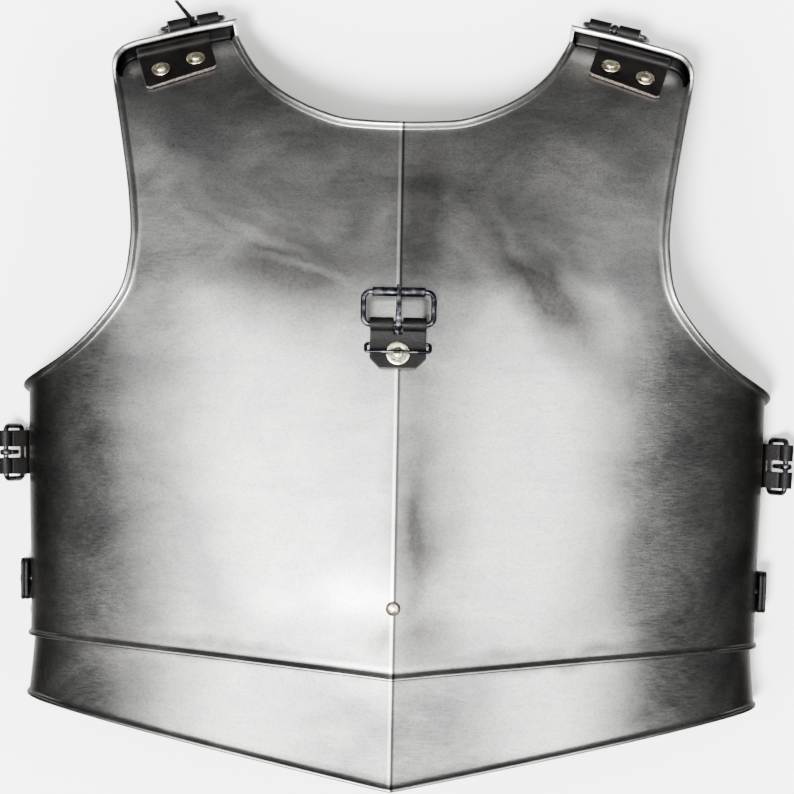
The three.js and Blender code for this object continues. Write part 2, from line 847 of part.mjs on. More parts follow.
// Folded strap: a double layer along a path that ends in an eye round the bar at the origin.
const eyeRadius = wireRadius + barClearance + leatherThickness;
const foldThickness = 2 * leatherThickness;
function strapGeometry(path, width, slotBack) {
  const half = foldThickness / 2;
  const left = [];
  const right = [];
  path.forEach((spot, index) => {
    const before = path[Math.max(index - 1, 0)];
    const after = path[Math.min(index + 1, path.length - 1)];
    const run = after.clone().sub(before).normalize();
    const off = new THREE.Vector2(-run.y, run.x);
    left.push(spot.clone().addScaledVector(off, half));
    right.push(spot.clone().addScaledVector(off, -half));
  });
  const back = path[path.length - 1].clone().negate();
  const facing = Math.atan2(-back.y, -back.x);
  const spread = Math.asin(half / eyeRadius);
  const eye = circlePoints(0, 0, eyeRadius, facing - spread, facing + spread - 2 * Math.PI, 10);
  const shape = new THREE.Shape([...left, ...eye, ...right.reverse()]);
  const hole = circlePoints(0, 0, wireRadius + barClearance, 0, 2 * Math.PI, 8).slice(0, -1);
  shape.holes.push(new THREE.Path(hole));
  const strap = acrossWidth(shape, width, 1);
  const slot = new THREE.BoxGeometry(slotWidth, eyeRadius + slotBack + 2, 4 * eyeRadius);
  slot.translate(0, (eyeRadius + 2 - slotBack) / 2, 0);
  const turn = new THREE.Matrix4().makeRotationX(facing + Math.PI);
  return { strap, slot: slot.applyMatrix4(turn) };
}

// Buckle at a site whose local x axis is the bar: frame and prong turn about it.
function addBuckle(prefix, site, size) {
  const frame = new THREE.Group();
  frame.rotation.x = radians(size.frameAngle);
  const loop = wireLoop(size.width, size.depth, size.corner, wireRadius);
  frame.add(named(`${prefix}_buckle`, loop, buckleSteel()));
  const top = size.roller ? rollerRadius : wireRadius;
  const prong = named(`${prefix}_prong`, prongGeometry(size.depth, top, size.skew), buckleSteel());
  prong.geometry.rotateY(size.prongBehind ? Math.PI : 0);
  prong.rotation.x = radians(size.prongAngle);
  frame.add(prong);
  if (size.roller) {
    const long = size.width - 2 * size.corner - 2 * seatGap - 1;
    const profile = [
      [wireRadius + barClearance, -long / 2],
      [rollerRadius, -long / 2],
      [rollerRadius, long / 2],
      [wireRadius + barClearance, long / 2],
      [wireRadius + barClearance, -long / 2],
    ].map(([radius, height]) => new THREE.Vector2(radius, height));
    const roller = named(`${prefix}_roller`, tidy(new THREE.LatheGeometry(profile, 16)), buckleSteel());
    roller.rotation.z = Math.PI / 2;
    roller.position.y = size.depth;
    frame.add(roller);
  }
  site.add(frame);
}

function siteGroup(frame) {
  const site = new THREE.Group();
  site.applyMatrix4(frame);
  part.add(site);
  return site;
}

// Chest buckle on the keel: the strap's tail runs down from the bar.
function addChestBuckle() {
  const lift = seatGap + foldThickness / 2;
  const seat = frameOnPlate(0, chestBarRise - chestRivetDistance);
  const barHeight = Math.max(lift, rollerRadius + seatGap + 1.2);
  const toBar = new THREE.Matrix4().makeTranslation(0, chestRivetDistance, barHeight);
  const site = siteGroup(seat.clone().multiply(toBar));
  const settle = lift - barHeight;
  const path = [
    new THREE.Vector2(-chestStrapLength, settle),
    new THREE.Vector2(-keeperDistance, settle),
    new THREE.Vector2(-eyeRadius, settle * 0.5),
  ];
  const { strap, slot } = strapGeometry(path, chestStrapWidth, slotLength);
  const chamfers = [-1, 1].map((side) => {
    const wedge = new THREE.BoxGeometry(chestChamfer * 3, chestChamfer * Math.SQRT2, foldThickness * 4);
    wedge.rotateZ(side * Math.PI / 4);
    return wedge.translate(side * chestStrapWidth / 2, -chestStrapLength, 0);
  });
  const tunnel = new THREE.CylinderGeometry(
    keeperWireRadius + holeClearance, keeperWireRadius + holeClearance, 2 * chestStrapWidth, 10,
  ).rotateZ(Math.PI / 2).translate(0, -keeperDistance, settle);
  const toRivet = new THREE.Matrix4().makeTranslation(0, -chestRivetDistance, 0);
  const rivetHole = holeCutter(shankRadius, toRivet, drillReach);
  site.add(named('chest_strap', cut(strap, [slot, ...chamfers, tunnel, rivetHole]), blackLeather()));
  addBuckle('chest', site, {
    width: chestFrameWidth - 2 * wireRadius,
    depth: chestFrameDepth,
    corner: 4,
    frameAngle: 0,
    prongAngle: 0,
    roller: true,
    skew: 0,
  });
  const washerSeat = 2 * seatGap + foldThickness;
  const headSeat = washerSeat + washerThickness + seatGap;
  const lay = (height) => seat.clone().multiply(new THREE.Matrix4().makeTranslation(0, 0, height));
  const washer = washerGeometry(chestWasherRadius, shankRadius + holeClearance);
  part.add(named('chest_washer', washer, rivetSteel(), lay(washerSeat)));
  const rivet = rivetGeometry(smallRivet, headSeat, -sheetThickness - seatGap - ridgeDrop);
  part.add(named('chest_rivet', rivet, rivetSteel(), seat));
  breastplateCuts.push(holeCutter(shankRadius, seat, drillReach));

  // The keeper runs through the strap and over the rivet's head.
  const far = new THREE.Vector2(
    -(chestRivetDistance - keeperDistance),
    headSeat + headHeight + seatGap + keeperWireRadius - lift,
  );
  const keeperLoop = wireLoop(keeperWidth, far.length(), keeperCorner, keeperWireRadius);
  const keeper = named('chest_keeper', keeperLoop, buckleSteel());
  keeper.position.set(0, -keeperDistance, settle);
  keeper.rotation.x = Math.atan2(far.y, far.x);
  site.add(keeper);
}

// Point of the shoulder's bend line and its directions: out over the back and off the plate.
function shoulderBend(side, x, inward = 2, outward = 2) {
  const outerX = lerp(armHalfWidth, chestHalfWidth, armHole[armHole.length - 1].reach);
  const heightOf = (at) => lerp(shoulderRise, shoulderOuterRise, (at - neckHalfWidth) / (outerX - neckHalfWidth));
  const spot = seatAt(side * x, heightOf(x));
  const inner = seatAt(side * (x - inward), heightOf(x - inward)).point;
  const outer = seatAt(side * (x + outward), heightOf(x + outward)).point;
  const along = side > 0 ? inner.sub(outer) : outer.sub(inner);
  const out = along.cross(spot.normal).normalize();
  if (out.y < 0) {
    out.negate();
  }
  return { point: spot.point, normal: spot.normal, out };
}

// Closed leather sheet between two grids of points, row by row.
function sheetBetween(front, back) {
  const skin = new Skin();
  const lastRow = front.length - 1;
  const lastColumn = front[0].length - 1;
  for (let row = 0; row < lastRow; row++) {
    for (let column = 0; column < lastColumn; column++) {
      skin.quad(front[row][column], front[row][column + 1], front[row + 1][column + 1], front[row + 1][column]);
      skin.quad(back[row + 1][column], back[row + 1][column + 1], back[row][column + 1], back[row][column]);
    }
    skin.quad(front[row + 1][0], back[row + 1][0], back[row][0], front[row][0]);
    skin.quad(front[row][lastColumn], back[row][lastColumn], back[row + 1][lastColumn], front[row + 1][lastColumn]);
  }
  for (let column = 0; column < lastColumn; column++) {
    skin.quad(front[0][column], back[0][column], back[0][column + 1], front[0][column + 1]);
    skin.quad(front[lastRow][column + 1], back[lastRow][column + 1], back[lastRow][column], front[lastRow][column]);
  }
  return skin.geometry();
}

// Tab on the plate's outer face that bends up the front of the shoulder flange.
function shoulderTabGeometry(side) {
  const lean = radians(tabLean);
  const near = seatGap;
  const far = seatGap + leatherThickness;
  const frontFace = flangeFront - seatGap;
  const top = shoulderFlangeHeight - 2.4 * beadRadius;
  const front = [];
  const back = [];
  const acrossSteps = 4;
  const plateShares = [0, 0.3, 0.6, 0.85];
  const turns = [15, 45, 75, 90];
  const rowCount = plateShares.length + turns.length + 1;
  for (let row = 0; row < rowCount; row++) {
    front.push([]);
    back.push([]);
  }
  for (let step = 0; step <= acrossSteps; step++) {
    const across = lerp(-tabWidth / 2, tabWidth / 2, step / acrossSteps);
    const footX = tabCentre + across * Math.cos(lean);
    const footY = shoulderRise - tabDrop - across * Math.sin(lean);
    let run = 0;
    for (let round = 0; round < 30; round++) {
      const x = footX + run * Math.sin(lean);
      run += shoulderBend(1, x).point.y - (footY + run * Math.cos(lean));
    }
    const bend = shoulderBend(1, footX + run * Math.sin(lean));
    const inset = tabBendRadius + leatherThickness;
    const plateRun = run - inset * 0.7;
    plateShares.forEach((share, row) => {
      const length = share * plateRun;
      const spot = seatAt(footX + length * Math.sin(lean), footY + length * Math.cos(lean));
      front[row].push(spot.point.clone().addScaledVector(spot.normal, far));
      back[row].push(spot.point.clone().addScaledVector(spot.normal, near));
    });
    const place = (out, rise) =>
      bend.point.clone().addScaledVector(bend.out, out).addScaledVector(bend.normal, rise);
    turns.forEach((turn, index) => {
      const angle = radians(turn);
      const row = plateShares.length + index;
      const centreOut = frontFace - leatherThickness - tabBendRadius;
      const centreRise = far + tabBendRadius;
      const arc = (radius) => place(centreOut + radius * Math.sin(angle), centreRise - radius * Math.cos(angle));
      front[row].push(arc(tabBendRadius));
      back[row].push(arc(tabBendRadius + leatherThickness));
    });
    front[rowCount - 1].push(place(frontFace - leatherThickness, top));
    back[rowCount - 1].push(place(frontFace, top));
  }
  for (const grid of [front, back]) {
    grid.forEach((line) => line.forEach((spot) => spot.setX(side * spot.x)));
  }
  return sheetBetween(front, back);
}

// One shoulder: the riveted tab in front, and a buckle strap that comes up behind the flange.
function addShoulder(side) {
  const prefix = side < 0 ? 'left_shoulder' : 'right_shoulder';
  const lean = radians(tabLean);
  const tabCuts = [];
  const bend = shoulderBend(side, shoulderStrapCentre, 0, shoulderStrapWidth / 2);
  const siteOrigin = bend.point.clone()
    .addScaledVector(bend.out, shoulderBarBehind)
    .addScaledVector(bend.normal, shoulderBarHeight);
  const siteFrame = new THREE.Matrix4()
    .makeBasis(bend.out.clone().cross(bend.normal), bend.out, bend.normal)
    .setPosition(siteOrigin);
  const site = siteGroup(siteFrame);

  // Path of the strap: under the plate, round its bent end and up to the bar.
  const under = -(sheetThickness + underGap + foldThickness / 2);
  const behind = flangeFront + sheetThickness + 2 * seatGap + foldThickness / 2;
  const local = (out, rise) => new THREE.Vector2(out - shoulderBarBehind, rise - shoulderBarHeight);
  const bowed = (length) => {
    const spot = seatAt(side * shoulderStrapCentre, bend.point.y - length * shoulderStrapPull);
    const offset = spot.point.clone().addScaledVector(spot.normal, under).sub(bend.point);
    return local(offset.dot(bend.out), offset.dot(bend.normal));
  };
  const path = [
    bowed(shoulderStrapTail),
    bowed(shoulderStrapTail * 0.5),
    local(0, under - shoulderStrapDip),
    local(behind * 0.92, under * 0.85),
    local(behind, shoulderStrapRise),
    local(behind + shoulderStrapLift, shoulderBarHeight - 0.8 * eyeRadius),
  ];
  const { strap, slot } = strapGeometry(path, shoulderStrapWidth, slotLength);
  const strapCuts = [slot];

  // Rivets through the tab; the inner one also holds the strap.
  const toSite = siteFrame.clone().invert();
  for (const [index, name] of ['inner', 'outer'].entries()) {
    const across = (index - 0.5) * tabRivetSpacing;
    const x = tabCentre + across * Math.cos(lean) + tabRivetDistance * Math.sin(lean);
    const y = shoulderRise - tabDrop - across * Math.sin(lean) + tabRivetDistance * Math.cos(lean);
    const frame = frameOnPlate(side * x, y);
    const washerSeat = 2 * seatGap + leatherThickness + 0.1;
    const headSeat = washerSeat + washerThickness + seatGap;
    const throughStrap = name === 'inner';
    const tailSeat = -(sheetThickness + tailGap) - (throughStrap ? foldThickness + underGap : 0);
    const lay = frame.clone().multiply(new THREE.Matrix4().makeTranslation(0, 0, washerSeat));
    const washer = washerGeometry(washerRadius, shankRadius + holeClearance);
    part.add(named(`${prefix}_washer_${name}`, washer, rivetSteel(), lay));
    const rivet = rivetGeometry(smallRivet, headSeat, tailSeat);
    part.add(named(`${prefix}_rivet_${name}`, rivet, rivetSteel(), frame));
    breastplateCuts.push(holeCutter(shankRadius, frame, drillReach / 2));
    tabCuts.push(holeCutter(shankRadius, frame, drillReach / 2));
    if (throughStrap) {
      strapCuts.push(holeCutter(shankRadius, toSite.clone().multiply(frame), drillReach));
    }
  }
  part.add(named(`${prefix}_tab`, cut(shoulderTabGeometry(side), tabCuts), blackLeather()));

  site.add(named(`${prefix}_strap`, cut(strap, strapCuts), blackLeather()));
  addBuckle(prefix, site, {
    width: shoulderFrameWidth - 2 * wireRadius,
    depth: shoulderFrameDepth,
    corner: 3.4,
    frameAngle: shoulderFrameAngle,
    prongAngle: side < 0 ? leftProngAngle : 0,
    roller: false,
    skew: side < 0 ? -leftProngSkew : 0,
  });
}

// Frame on the side wall, with local z out of the plate and local y up.
function sideFrame(side, y, height) {
  const cosine = (height - widestHeight) / depthAt(y);
  const x = halfWidthAt(y) * Math.sqrt(1 - cosine * cosine);
  const grow = (halfWidthAt(y + 5) - halfWidthAt(y - 5)) / 10;
  const slope = halfWidthAt(y) * cosine / (depthAt(y) * Math.sqrt(1 - cosine * cosine));
  const normal = vector(side, -grow, slope).normalize();
  return frameAt(vector(side * x, y, height), vector(0, side, 0), normal);
}

// One side: the upper buckle strap and the lower tab.
function addSide(side) {
  const prefix = side < 0 ? 'left_side' : 'right_side';
  const lift = seatGap + foldThickness / 2;
  const seat = sideFrame(side, -sideStrapDrop, sideStrapSeat);
  const bar = new THREE.Vector2(sideFlapRise, lift + sideFlapReach);
  const site = siteGroup(seat.clone().multiply(new THREE.Matrix4().makeTranslation(0, bar.x, bar.y)));
  const local = (rise, out) => new THREE.Vector2(rise, out).sub(bar);
  const path = [
    local(-sideLegLength, lift),
    local(sideFlapRise * 0.42, lift),
    local(sideFlapRise * 0.62, lift + 1.6),
    local(sideFlapRise * 0.84, lift + sideFlapReach * 0.6),
  ];
  const { strap, slot } = strapGeometry(path, sideStrapWidth, sideSlotLength);
  const legRise = 0.2;
  const legRivet = seat.clone().multiply(new THREE.Matrix4().makeTranslation(0, legRise, 0));
  const washerSeat = 2 * seatGap + foldThickness;
  const headSeat = washerSeat + washerThickness + seatGap;
  const lay = legRivet.clone().multiply(new THREE.Matrix4().makeTranslation(0, 0, washerSeat));
  const washer = washerGeometry(sideWasherRadius, shankRadius + holeClearance);
  part.add(named(`${prefix}_strap_washer`, washer, rivetSteel(), lay));
  const strapRivet = rivetGeometry(smallRivet, headSeat, -sheetThickness - tailGap);
  part.add(named(`${prefix}_strap_rivet`, strapRivet, rivetSteel(), legRivet));
  breastplateCuts.push(holeCutter(shankRadius, legRivet, drillReach / 2));
  const legHole = new THREE.Matrix4().makeTranslation(0, legRise - bar.x, 0);
  const legCut = holeCutter(shankRadius, legHole, drillReach);
  site.add(named(`${prefix}_strap`, cut(strap, [slot, legCut]), blackLeather()));
  addBuckle(prefix, site, {
    width: sideFrameWidth - 2 * wireRadius,
    depth: sideFrameDepth,
    corner: 3.4,
    frameAngle: sideFrameAngle,
    prongBehind: true,
    prongAngle: 0,
    roller: false,
    skew: 0,
  });

  const tabSeat = sideFrame(side, -lowerTabDrop, lowerTabSeat + lowerTabHeight / 2);
  const tab = new THREE.BoxGeometry(lowerTabWidth, lowerTabHeight, foldThickness, 2, 2, 1);
  tab.translate(0, 0, lift + 0.6);
  const tabHole = holeCutter(shankRadius, new THREE.Matrix4(), drillReach);
  part.add(named(`${prefix}_tab`, cut(tab, [tabHole]), blackLeather(), tabSeat));
  const tabHead = washerSeat + 0.6;
  const tabRivet = rivetGeometry(smallRivet, tabHead, -sheetThickness - tailGap);
  part.add(named(`${prefix}_tab_rivet`, tabRivet, rivetSteel(), tabSeat));
  breastplateCuts.push(holeCutter(shankRadius, tabSeat, drillReach / 2));
}

addFauldRivets();
addChestBuckle();
for (const side of [-1, 1]) {
  addShoulder(side);
  addSide(side);
}
part.add(named('breastplate', cut(breastplateGeometry(), breastplateCuts), plateSteel()));
part.add(named('fauld', cut(fauldGeometry(), fauldCuts), plateSteel()));

// The origin is the middle of the part's footprint on the floor.
part.updateMatrixWorld(true);
const reach = new THREE.Box3().setFromObject(part, true);
const middle = reach.getCenter(new THREE.Vector3());
part.position.set(-middle.x, -middle.y, -reach.min.z);
const breastplatePart = new THREE.Group();
breastplatePart.add(part);

export default breastplatePart;
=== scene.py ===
import json
import math

import bmesh
import bpy
from mathutils import Matrix, Vector, noise


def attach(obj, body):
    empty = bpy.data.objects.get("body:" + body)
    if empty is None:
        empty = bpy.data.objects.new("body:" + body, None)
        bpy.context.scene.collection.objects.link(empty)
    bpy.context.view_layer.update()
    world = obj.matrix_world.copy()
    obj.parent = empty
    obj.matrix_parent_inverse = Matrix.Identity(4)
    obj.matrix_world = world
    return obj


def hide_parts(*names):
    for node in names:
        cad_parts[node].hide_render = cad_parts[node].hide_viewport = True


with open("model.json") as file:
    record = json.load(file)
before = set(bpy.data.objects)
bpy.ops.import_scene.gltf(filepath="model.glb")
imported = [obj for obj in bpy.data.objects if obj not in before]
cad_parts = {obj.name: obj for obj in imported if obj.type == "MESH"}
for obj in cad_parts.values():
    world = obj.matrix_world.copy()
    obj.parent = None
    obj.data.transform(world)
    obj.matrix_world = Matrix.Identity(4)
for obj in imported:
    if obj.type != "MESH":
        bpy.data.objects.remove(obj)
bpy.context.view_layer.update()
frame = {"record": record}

# A steel breastplate that lies on its open back, seen from straight above. Lengths are in millimetres
# from the lower corner of the arm holes until a piece is finished, and then in the frame's metres.
mm = 0.001

# The camera looks straight down, turned a little, as the photo was taken.
photo = {"height": 3.0, "lens": 232.2, "turn": 1.08, "centreY": -0.0035}


def addCamera():
    data = bpy.data.cameras.new("photoCamera")
    data.lens = photo["lens"]
    data.clip_end = 30
    camera = bpy.data.objects.new("photoCamera", data)
    camera.location = (0, photo["centreY"], photo["height"])
    camera.rotation_euler = (0, 0, math.radians(photo["turn"]))
    bpy.context.collection.objects.link(camera)
    bpy.context.scene.camera = camera


addCamera()
print("camera placed")

# Colours and nodes


def srgb(code):
    # Turns an sRGB hex colour to linear.
    parts = [int(code[i:i + 2], 16) / 255 for i in (1, 3, 5)]
    return (*[p / 12.92 if p <= 0.04045 else ((p + 0.055) / 1.055) ** 2.4 for p in parts], 1)


def addNode(tree, kind, settings=None, links=None):
    # A node with its settings, which are attributes or input values, and its incoming links.
    node = tree.nodes.new(kind)
    for key, value in (settings or {}).items():
        if isinstance(key, str) and key not in node.inputs:
            setattr(node, key, value)
    for key, value in (settings or {}).items():
        if not isinstance(key, str) or key in node.inputs:
            node.inputs[key].default_value = value
    for key, socket in (links or {}).items():
        tree.links.new(socket, node.inputs[key])
    return node


def startMaterial(name, shaderSettings):
    material = bpy.data.materials.new(name)
    material.use_nodes = True
    tree = material.node_tree
    tree.nodes.clear()
    shader = addNode(tree, "ShaderNodeBsdfPrincipled", shaderSettings)
    addNode(tree, "ShaderNodeOutputMaterial", links={"Surface": shader.outputs["BSDF"]})
    place = addNode(tree, "ShaderNodeTexCoord").outputs["Object"]
    return material, tree, shader, place


def perMetre(size):
    # Texture scale for a feature of this many millimetres.
    return 1 / (size * mm)


# The plates' form, which repeats the frame's own sizes

plate = {
    "chestHalfWidth": 213.5, "waistTaper": 3.5, "armHalfWidth": 147.9, "neckHalfWidth": 100.4,
    "sideLength": 132, "keelDip": 16.5, "neckRise": 155, "shoulderRise": 209, "shoulderDrop": 12.5,
    "chestDepth": 133, "widestHeight": 22, "keelHeight": 10, "keelSpread": 60,
    "lowerEdgeSharpness": 1.4, "thickness": 1.5, "plateGap": 1,
    "across": 64, "along": 150, "fauldAlong": 34,
    "rollWidth": 5.3, "rollRise": 3.4, "flangeHeight": 12, "flangeWrap": 12, "flangeFront": 2,
    # The shoulder flange's first steps carry painted shade, and the steps after them up the bead a painted
    # highlight.
    "beadRadius": 1.7, "shadedSteps": 10, "highlightSteps": 20, "edgeWidth": 4.8, "edgeRise": 4.2,
    "edgeAtSide": 0.3, "profileSteps": 3, "dentDepth": 0.25, "dentSize": 42, "fluteDepth": 0.3, "fluteSize": 30,
    "fluteLength": 120, "rippleDepth": 0.05, "rippleSize": 11, "creaseAngle": 3,
}
keelBelowArms = plate["sideLength"] + plate["keelDip"]
waistHalfWidth = plate["chestHalfWidth"] - plate["waistTaper"]
shoulderOuterRise = plate["shoulderRise"] - plate["shoulderDrop"]

sections = [
    {"height": 0, "width": 0, "depth": 0.932, "keel": 1},
    {"height": 0.12, "width": 0.12, "depth": 1, "keel": 1},
    {"height": 0.26, "width": 0.6, "depth": 0.989, "keel": 1},
    {"height": 0.42, "width": 1, "depth": 0.948, "keel": 1},
    {"height": 0.59, "width": 1, "depth": 0.866, "keel": 0.95},
    {"height": 0.67, "width": 1, "depth": 0.797, "keel": 0.85},
    {"height": 0.75, "width": 1, "depth": 0.712, "keel": 0.65},
    {"height": 0.845, "width": 1, "depth": 0.583, "keel": 0.4},
    {"height": 0.915, "width": 1, "depth": 0.432, "keel": 0.2},
    {"height": 0.97, "width": 1, "depth": 0.25, "keel": 0.12},
    {"height": 1, "width": 1, "depth": 0.15, "keel": 0.1},
]
armHole = [
    {"rise": 0.053, "reach": 0.864},
    {"rise": 0.14, "reach": 0.486},
    {"rise": 0.289, "reach": 0.107},
    {"rise": 0.445, "reach": 0},
    {"rise": 0.593, "reach": 0.021},
    {"rise": 0.742, "reach": 0.091},
    {"rise": 0.855, "reach": 0.154},
    {"rise": 0.916, "reach": 0.192},
    {"rise": 0.957, "reach": 0.2},
    {"rise": 0.985, "reach": 0.154},
    {"rise": 1, "reach": 0.0625},
]
neckLine = [
    {"out": 0, "rise": 0},
    {"out": 0.18, "rise": 0.012},
    {"out": 0.367, "rise": 0.048},
    {"out": 0.566, "rise": 0.187},
    {"out": 0.735, "rise": 0.37},
    {"out": 0.8625, "rise": 0.59},
    {"out": 0.942, "rise": 0.806},
    {"out": 1, "rise": 1},
]
rollShape = [
    {"out": 0, "rise": 0},
    {"out": 0.16, "rise": 0.12},
    {"out": 0.28, "rise": 0.65},
    {"out": 0.5, "rise": 1},
    {"out": 0.78, "rise": 0.93},
    {"out": 0.96, "rise": 0.55},
    {"out": 1, "rise": 0.05},
    {"out": 0.86, "rise": -0.4},
    {"out": 0.6, "rise": -0.6},
    {"out": 0.25, "rise": -0.52},
]
edgeShape = [
    {"out": 0, "rise": 0},
    {"out": 0.3, "rise": 0.12},
    {"out": 0.48, "rise": 0.42},
    {"out": 0.57, "rise": 0.95},
    {"out": 0.75, "rise": 1.12},
    {"out": 0.95, "rise": 1.02},
    {"out": 1, "rise": 0.72},
    {"out": 0.92, "rise": 0.34},
    {"out": 0.72, "rise": 0},
    {"out": 0.4, "rise": -0.22},
]


def lerp(a, b, t):
    return a + (b - a) * t


def smoothStep(x, low, high):
    t = min(max((x - low) / (high - low), 0), 1)
    return t * t * (3 - 2 * t)


def tableValue(rows, column, height):
    # Smooth value of one column at a height, by cubic pieces through the rows.
    last = len(rows) - 1

    def slopeAt(index):
        before, after = rows[max(index - 1, 0)], rows[min(index + 1, last)]
        return (after[column] - before[column]) / (after["height"] - before["height"])

    if height <= rows[0]["height"]:
        return rows[0][column] + slopeAt(0) * (height - rows[0]["height"])
    if height >= rows[last]["height"]:
        return rows[last][column] + slopeAt(last) * (height - rows[last]["height"])
    index = 0
    while rows[index + 1]["height"] < height:
        index += 1
    low, high = rows[index], rows[index + 1]
    span = high["height"] - low["height"]
    t = (height - low["height"]) / span
    rise = (high[column] - low[column]) * (3 * t * t - 2 * t ** 3)
    start = slopeAt(index) * span * (t - 2 * t * t + t ** 3)
    end = slopeAt(index + 1) * span * (t ** 3 - t * t)
    return low[column] + rise + start + end


def splinePoint(points, t):
    # Point of a smooth curve through the points, as the frame's own curves are drawn.
    last = len(points) - 1
    place = last * min(max(t, 0), 1)
    index = min(int(place), last)
    w = place - index
    p0, p1 = points[max(index - 1, 0)], points[index]
    p2, p3 = points[min(index + 1, last)], points[min(index + 2, last)]
    v0, v1 = (p2 - p0) * 0.5, (p3 - p1) * 0.5
    return (2 * p1 - 2 * p2 + v0 + v1) * w ** 3 + (-3 * p1 + 3 * p2 - 2 * v0 - v1) * w * w + v0 * w + p1


def heightShare(y):
    return (y + keelBelowArms) / (keelBelowArms + plate["shoulderRise"])


def halfWidthAt(y):
    return lerp(waistHalfWidth, plate["chestHalfWidth"], tableValue(sections, "width", heightShare(y)))


def depthAt(y):
    return plate["chestDepth"] * tableValue(sections, "depth", heightShare(y))


def keelAt(y):
    return plate["keelHeight"] * tableValue(sections, "keel", heightShare(y))


def platePoint(angle, y):
    x = halfWidthAt(y) * math.sin(angle)
    z = plate["widestHeight"] + depthAt(y) * math.cos(angle) + keelAt(y) * math.exp(-x / plate["keelSpread"])
    return Vector((x, y, z))


def floorAngle(y):
    angle = math.pi / 2
    for _ in range(4):
        ridge = keelAt(y) * math.exp(-halfWidthAt(y) * math.sin(angle) / plate["keelSpread"])
        angle = math.acos(-(plate["widestHeight"] + ridge) / depthAt(y))
    return angle


def surfaceNormal(point, angle, y):
    step = 0.002
    across = point(angle + step, y) - point(angle, y)
    along = point(angle, y + step * 50) - point(angle, y - step * 50)
    return across.cross(along).normalized()


def lowerEdge(angle):
    dip = (1 - math.sin(min(angle, math.pi / 2))) ** plate["lowerEdgeSharpness"]
    return -plate["sideLength"] - plate["keelDip"] * dip


def planToAngle(x, y):
    return Vector((math.asin(x / halfWidthAt(y)), y))


def armCurvePoints():
    points = [Vector((floorAngle(0), 0))]
    for row in armHole:
        y = row["rise"] * shoulderOuterRise
        points.append(planToAngle(lerp(plate["armHalfWidth"], plate["chestHalfWidth"], row["reach"]), y))
    return points


def neckCurvePoints():
    points = []
    for row in neckLine:
        y = lerp(plate["neckRise"], plate["shoulderRise"], row["rise"])
        points.append(planToAngle(row["out"] * plate["neckHalfWidth"], y))
    return points


armCurve = armCurvePoints()
neckCurve = neckCurvePoints()
sideShare, middleShare, armSplit = 0.3, 0.6, 0.5


def plateRow(t):
    # Inner and outer end of a row of the breastplate, in angle and height, and its share of the lower edge.
    if t <= sideShare:
        s = t / sideShare
        y = lerp(-plate["sideLength"], 0, s)
        return Vector((0, lerp(-keelBelowArms, 0, s))), Vector((floorAngle(y), y)), 1 - s
    if t <= middleShare:
        s = (t - sideShare) / (middleShare - sideShare)
        return Vector((0, lerp(0, plate["neckRise"], s))), splinePoint(armCurve, s * armSplit), 0
    s = (t - middleShare) / (1 - middleShare)
    return splinePoint(neckCurve, s), splinePoint(armCurve, lerp(armSplit, 1, s)), 0


def plateSpot(u, t):
    inner, outer, edgeShare = plateRow(t)
    angle, y = lerp(inner.x, outer.x, u), lerp(inner.y, outer.y, u)
    if edgeShare > 0:
        ruled = lerp(-keelBelowArms, -plate["sideLength"], u)
        y += edgeShare * (lowerEdge(angle) - ruled)
    return spotOn(platePoint, angle, y, u == 1 and t <= sideShare)


fauld = {
    "tuckCentre": 45.5, "tuckSide": 19, "tipLength": 62, "sideLength": 34, "flare": 2.6, "depthFlare": 7,
    "flareCurve": 1.3, "edgeRow": 0.5,
}
fauldTip = keelBelowArms + fauld["tipLength"]
fauldInset = plate["thickness"] + plate["plateGap"]


def fauldTop(angle):
    side = -(plate["sideLength"] - fauld["tuckSide"])
    return lerp(-(keelBelowArms - fauld["tuckCentre"]), side, math.sin(min(angle, math.pi / 2)))


def fauldBottom(angle):
    side = -(plate["sideLength"] + fauld["sideLength"])
    return lerp(-fauldTip, side, math.sin(min(angle, math.pi / 2)))


def fauldPoint(angle, y):
    edge = lowerEdge(angle)
    share = min(max((edge - y) / (edge - fauldBottom(angle)), 0), 1) ** fauld["flareCurve"]
    held = max(y, edge)
    x = (halfWidthAt(held) - fauldInset + share * fauld["flare"]) * math.sin(angle)
    depth = depthAt(held) - fauldInset + share * fauld["depthFlare"]
    ridge = keelAt(held) * math.exp(-x / plate["keelSpread"])
    return Vector((x, y, plate["widestHeight"] + depth * math.cos(angle) + ridge))


def fauldFloorAngle(y):
    angle = math.pi / 2
    for _ in range(12):
        angle += fauldPoint(angle, y).z / plate["chestDepth"]
    return angle


def fauldSpot(u, t):
    low = min(t / fauld["edgeRow"], 1)
    high = max((t - fauld["edgeRow"]) / (1 - fauld["edgeRow"]), 0)
    side = -(plate["sideLength"] + fauld["sideLength"])
    sideY = lerp(lerp(side, -plate["sideLength"], low), fauldTop(math.pi / 2), high)
    angle = fauldFloorAngle(sideY) * u
    y = lerp(lerp(fauldBottom(angle), lowerEdge(angle), low), fauldTop(angle), high)
    return spotOn(fauldPoint, angle, y, u == 1)


def hammering(x, y):
    # Slow hollows left by the hammer and a finer ripple under the polish.
    slow = noise.noise(Vector((x, y, 3)) / plate["dentSize"]) * plate["dentDepth"]
    slow += noise.noise(Vector((x / plate["fluteSize"], y / plate["fluteLength"], 9))) * plate["fluteDepth"]
    return slow + noise.noise(Vector((x, y, 40)) / plate["rippleSize"]) * plate["rippleDepth"]


def spotOn(pointOn, angle, y, onFloor):
    point, normal = pointOn(angle, y), surfaceNormal(pointOn, angle, y)
    if angle < 0.0001:
        point.x = 0
        normal = Vector((0, normal.y, normal.z)).normalized()
    if onFloor:
        point.z = 0
        normal = Vector((1, 0, 0))
    else:
        point += normal * hammering(point.x, point.y)
        if angle < 0.0001:
            point.x = 0
    return point, normal


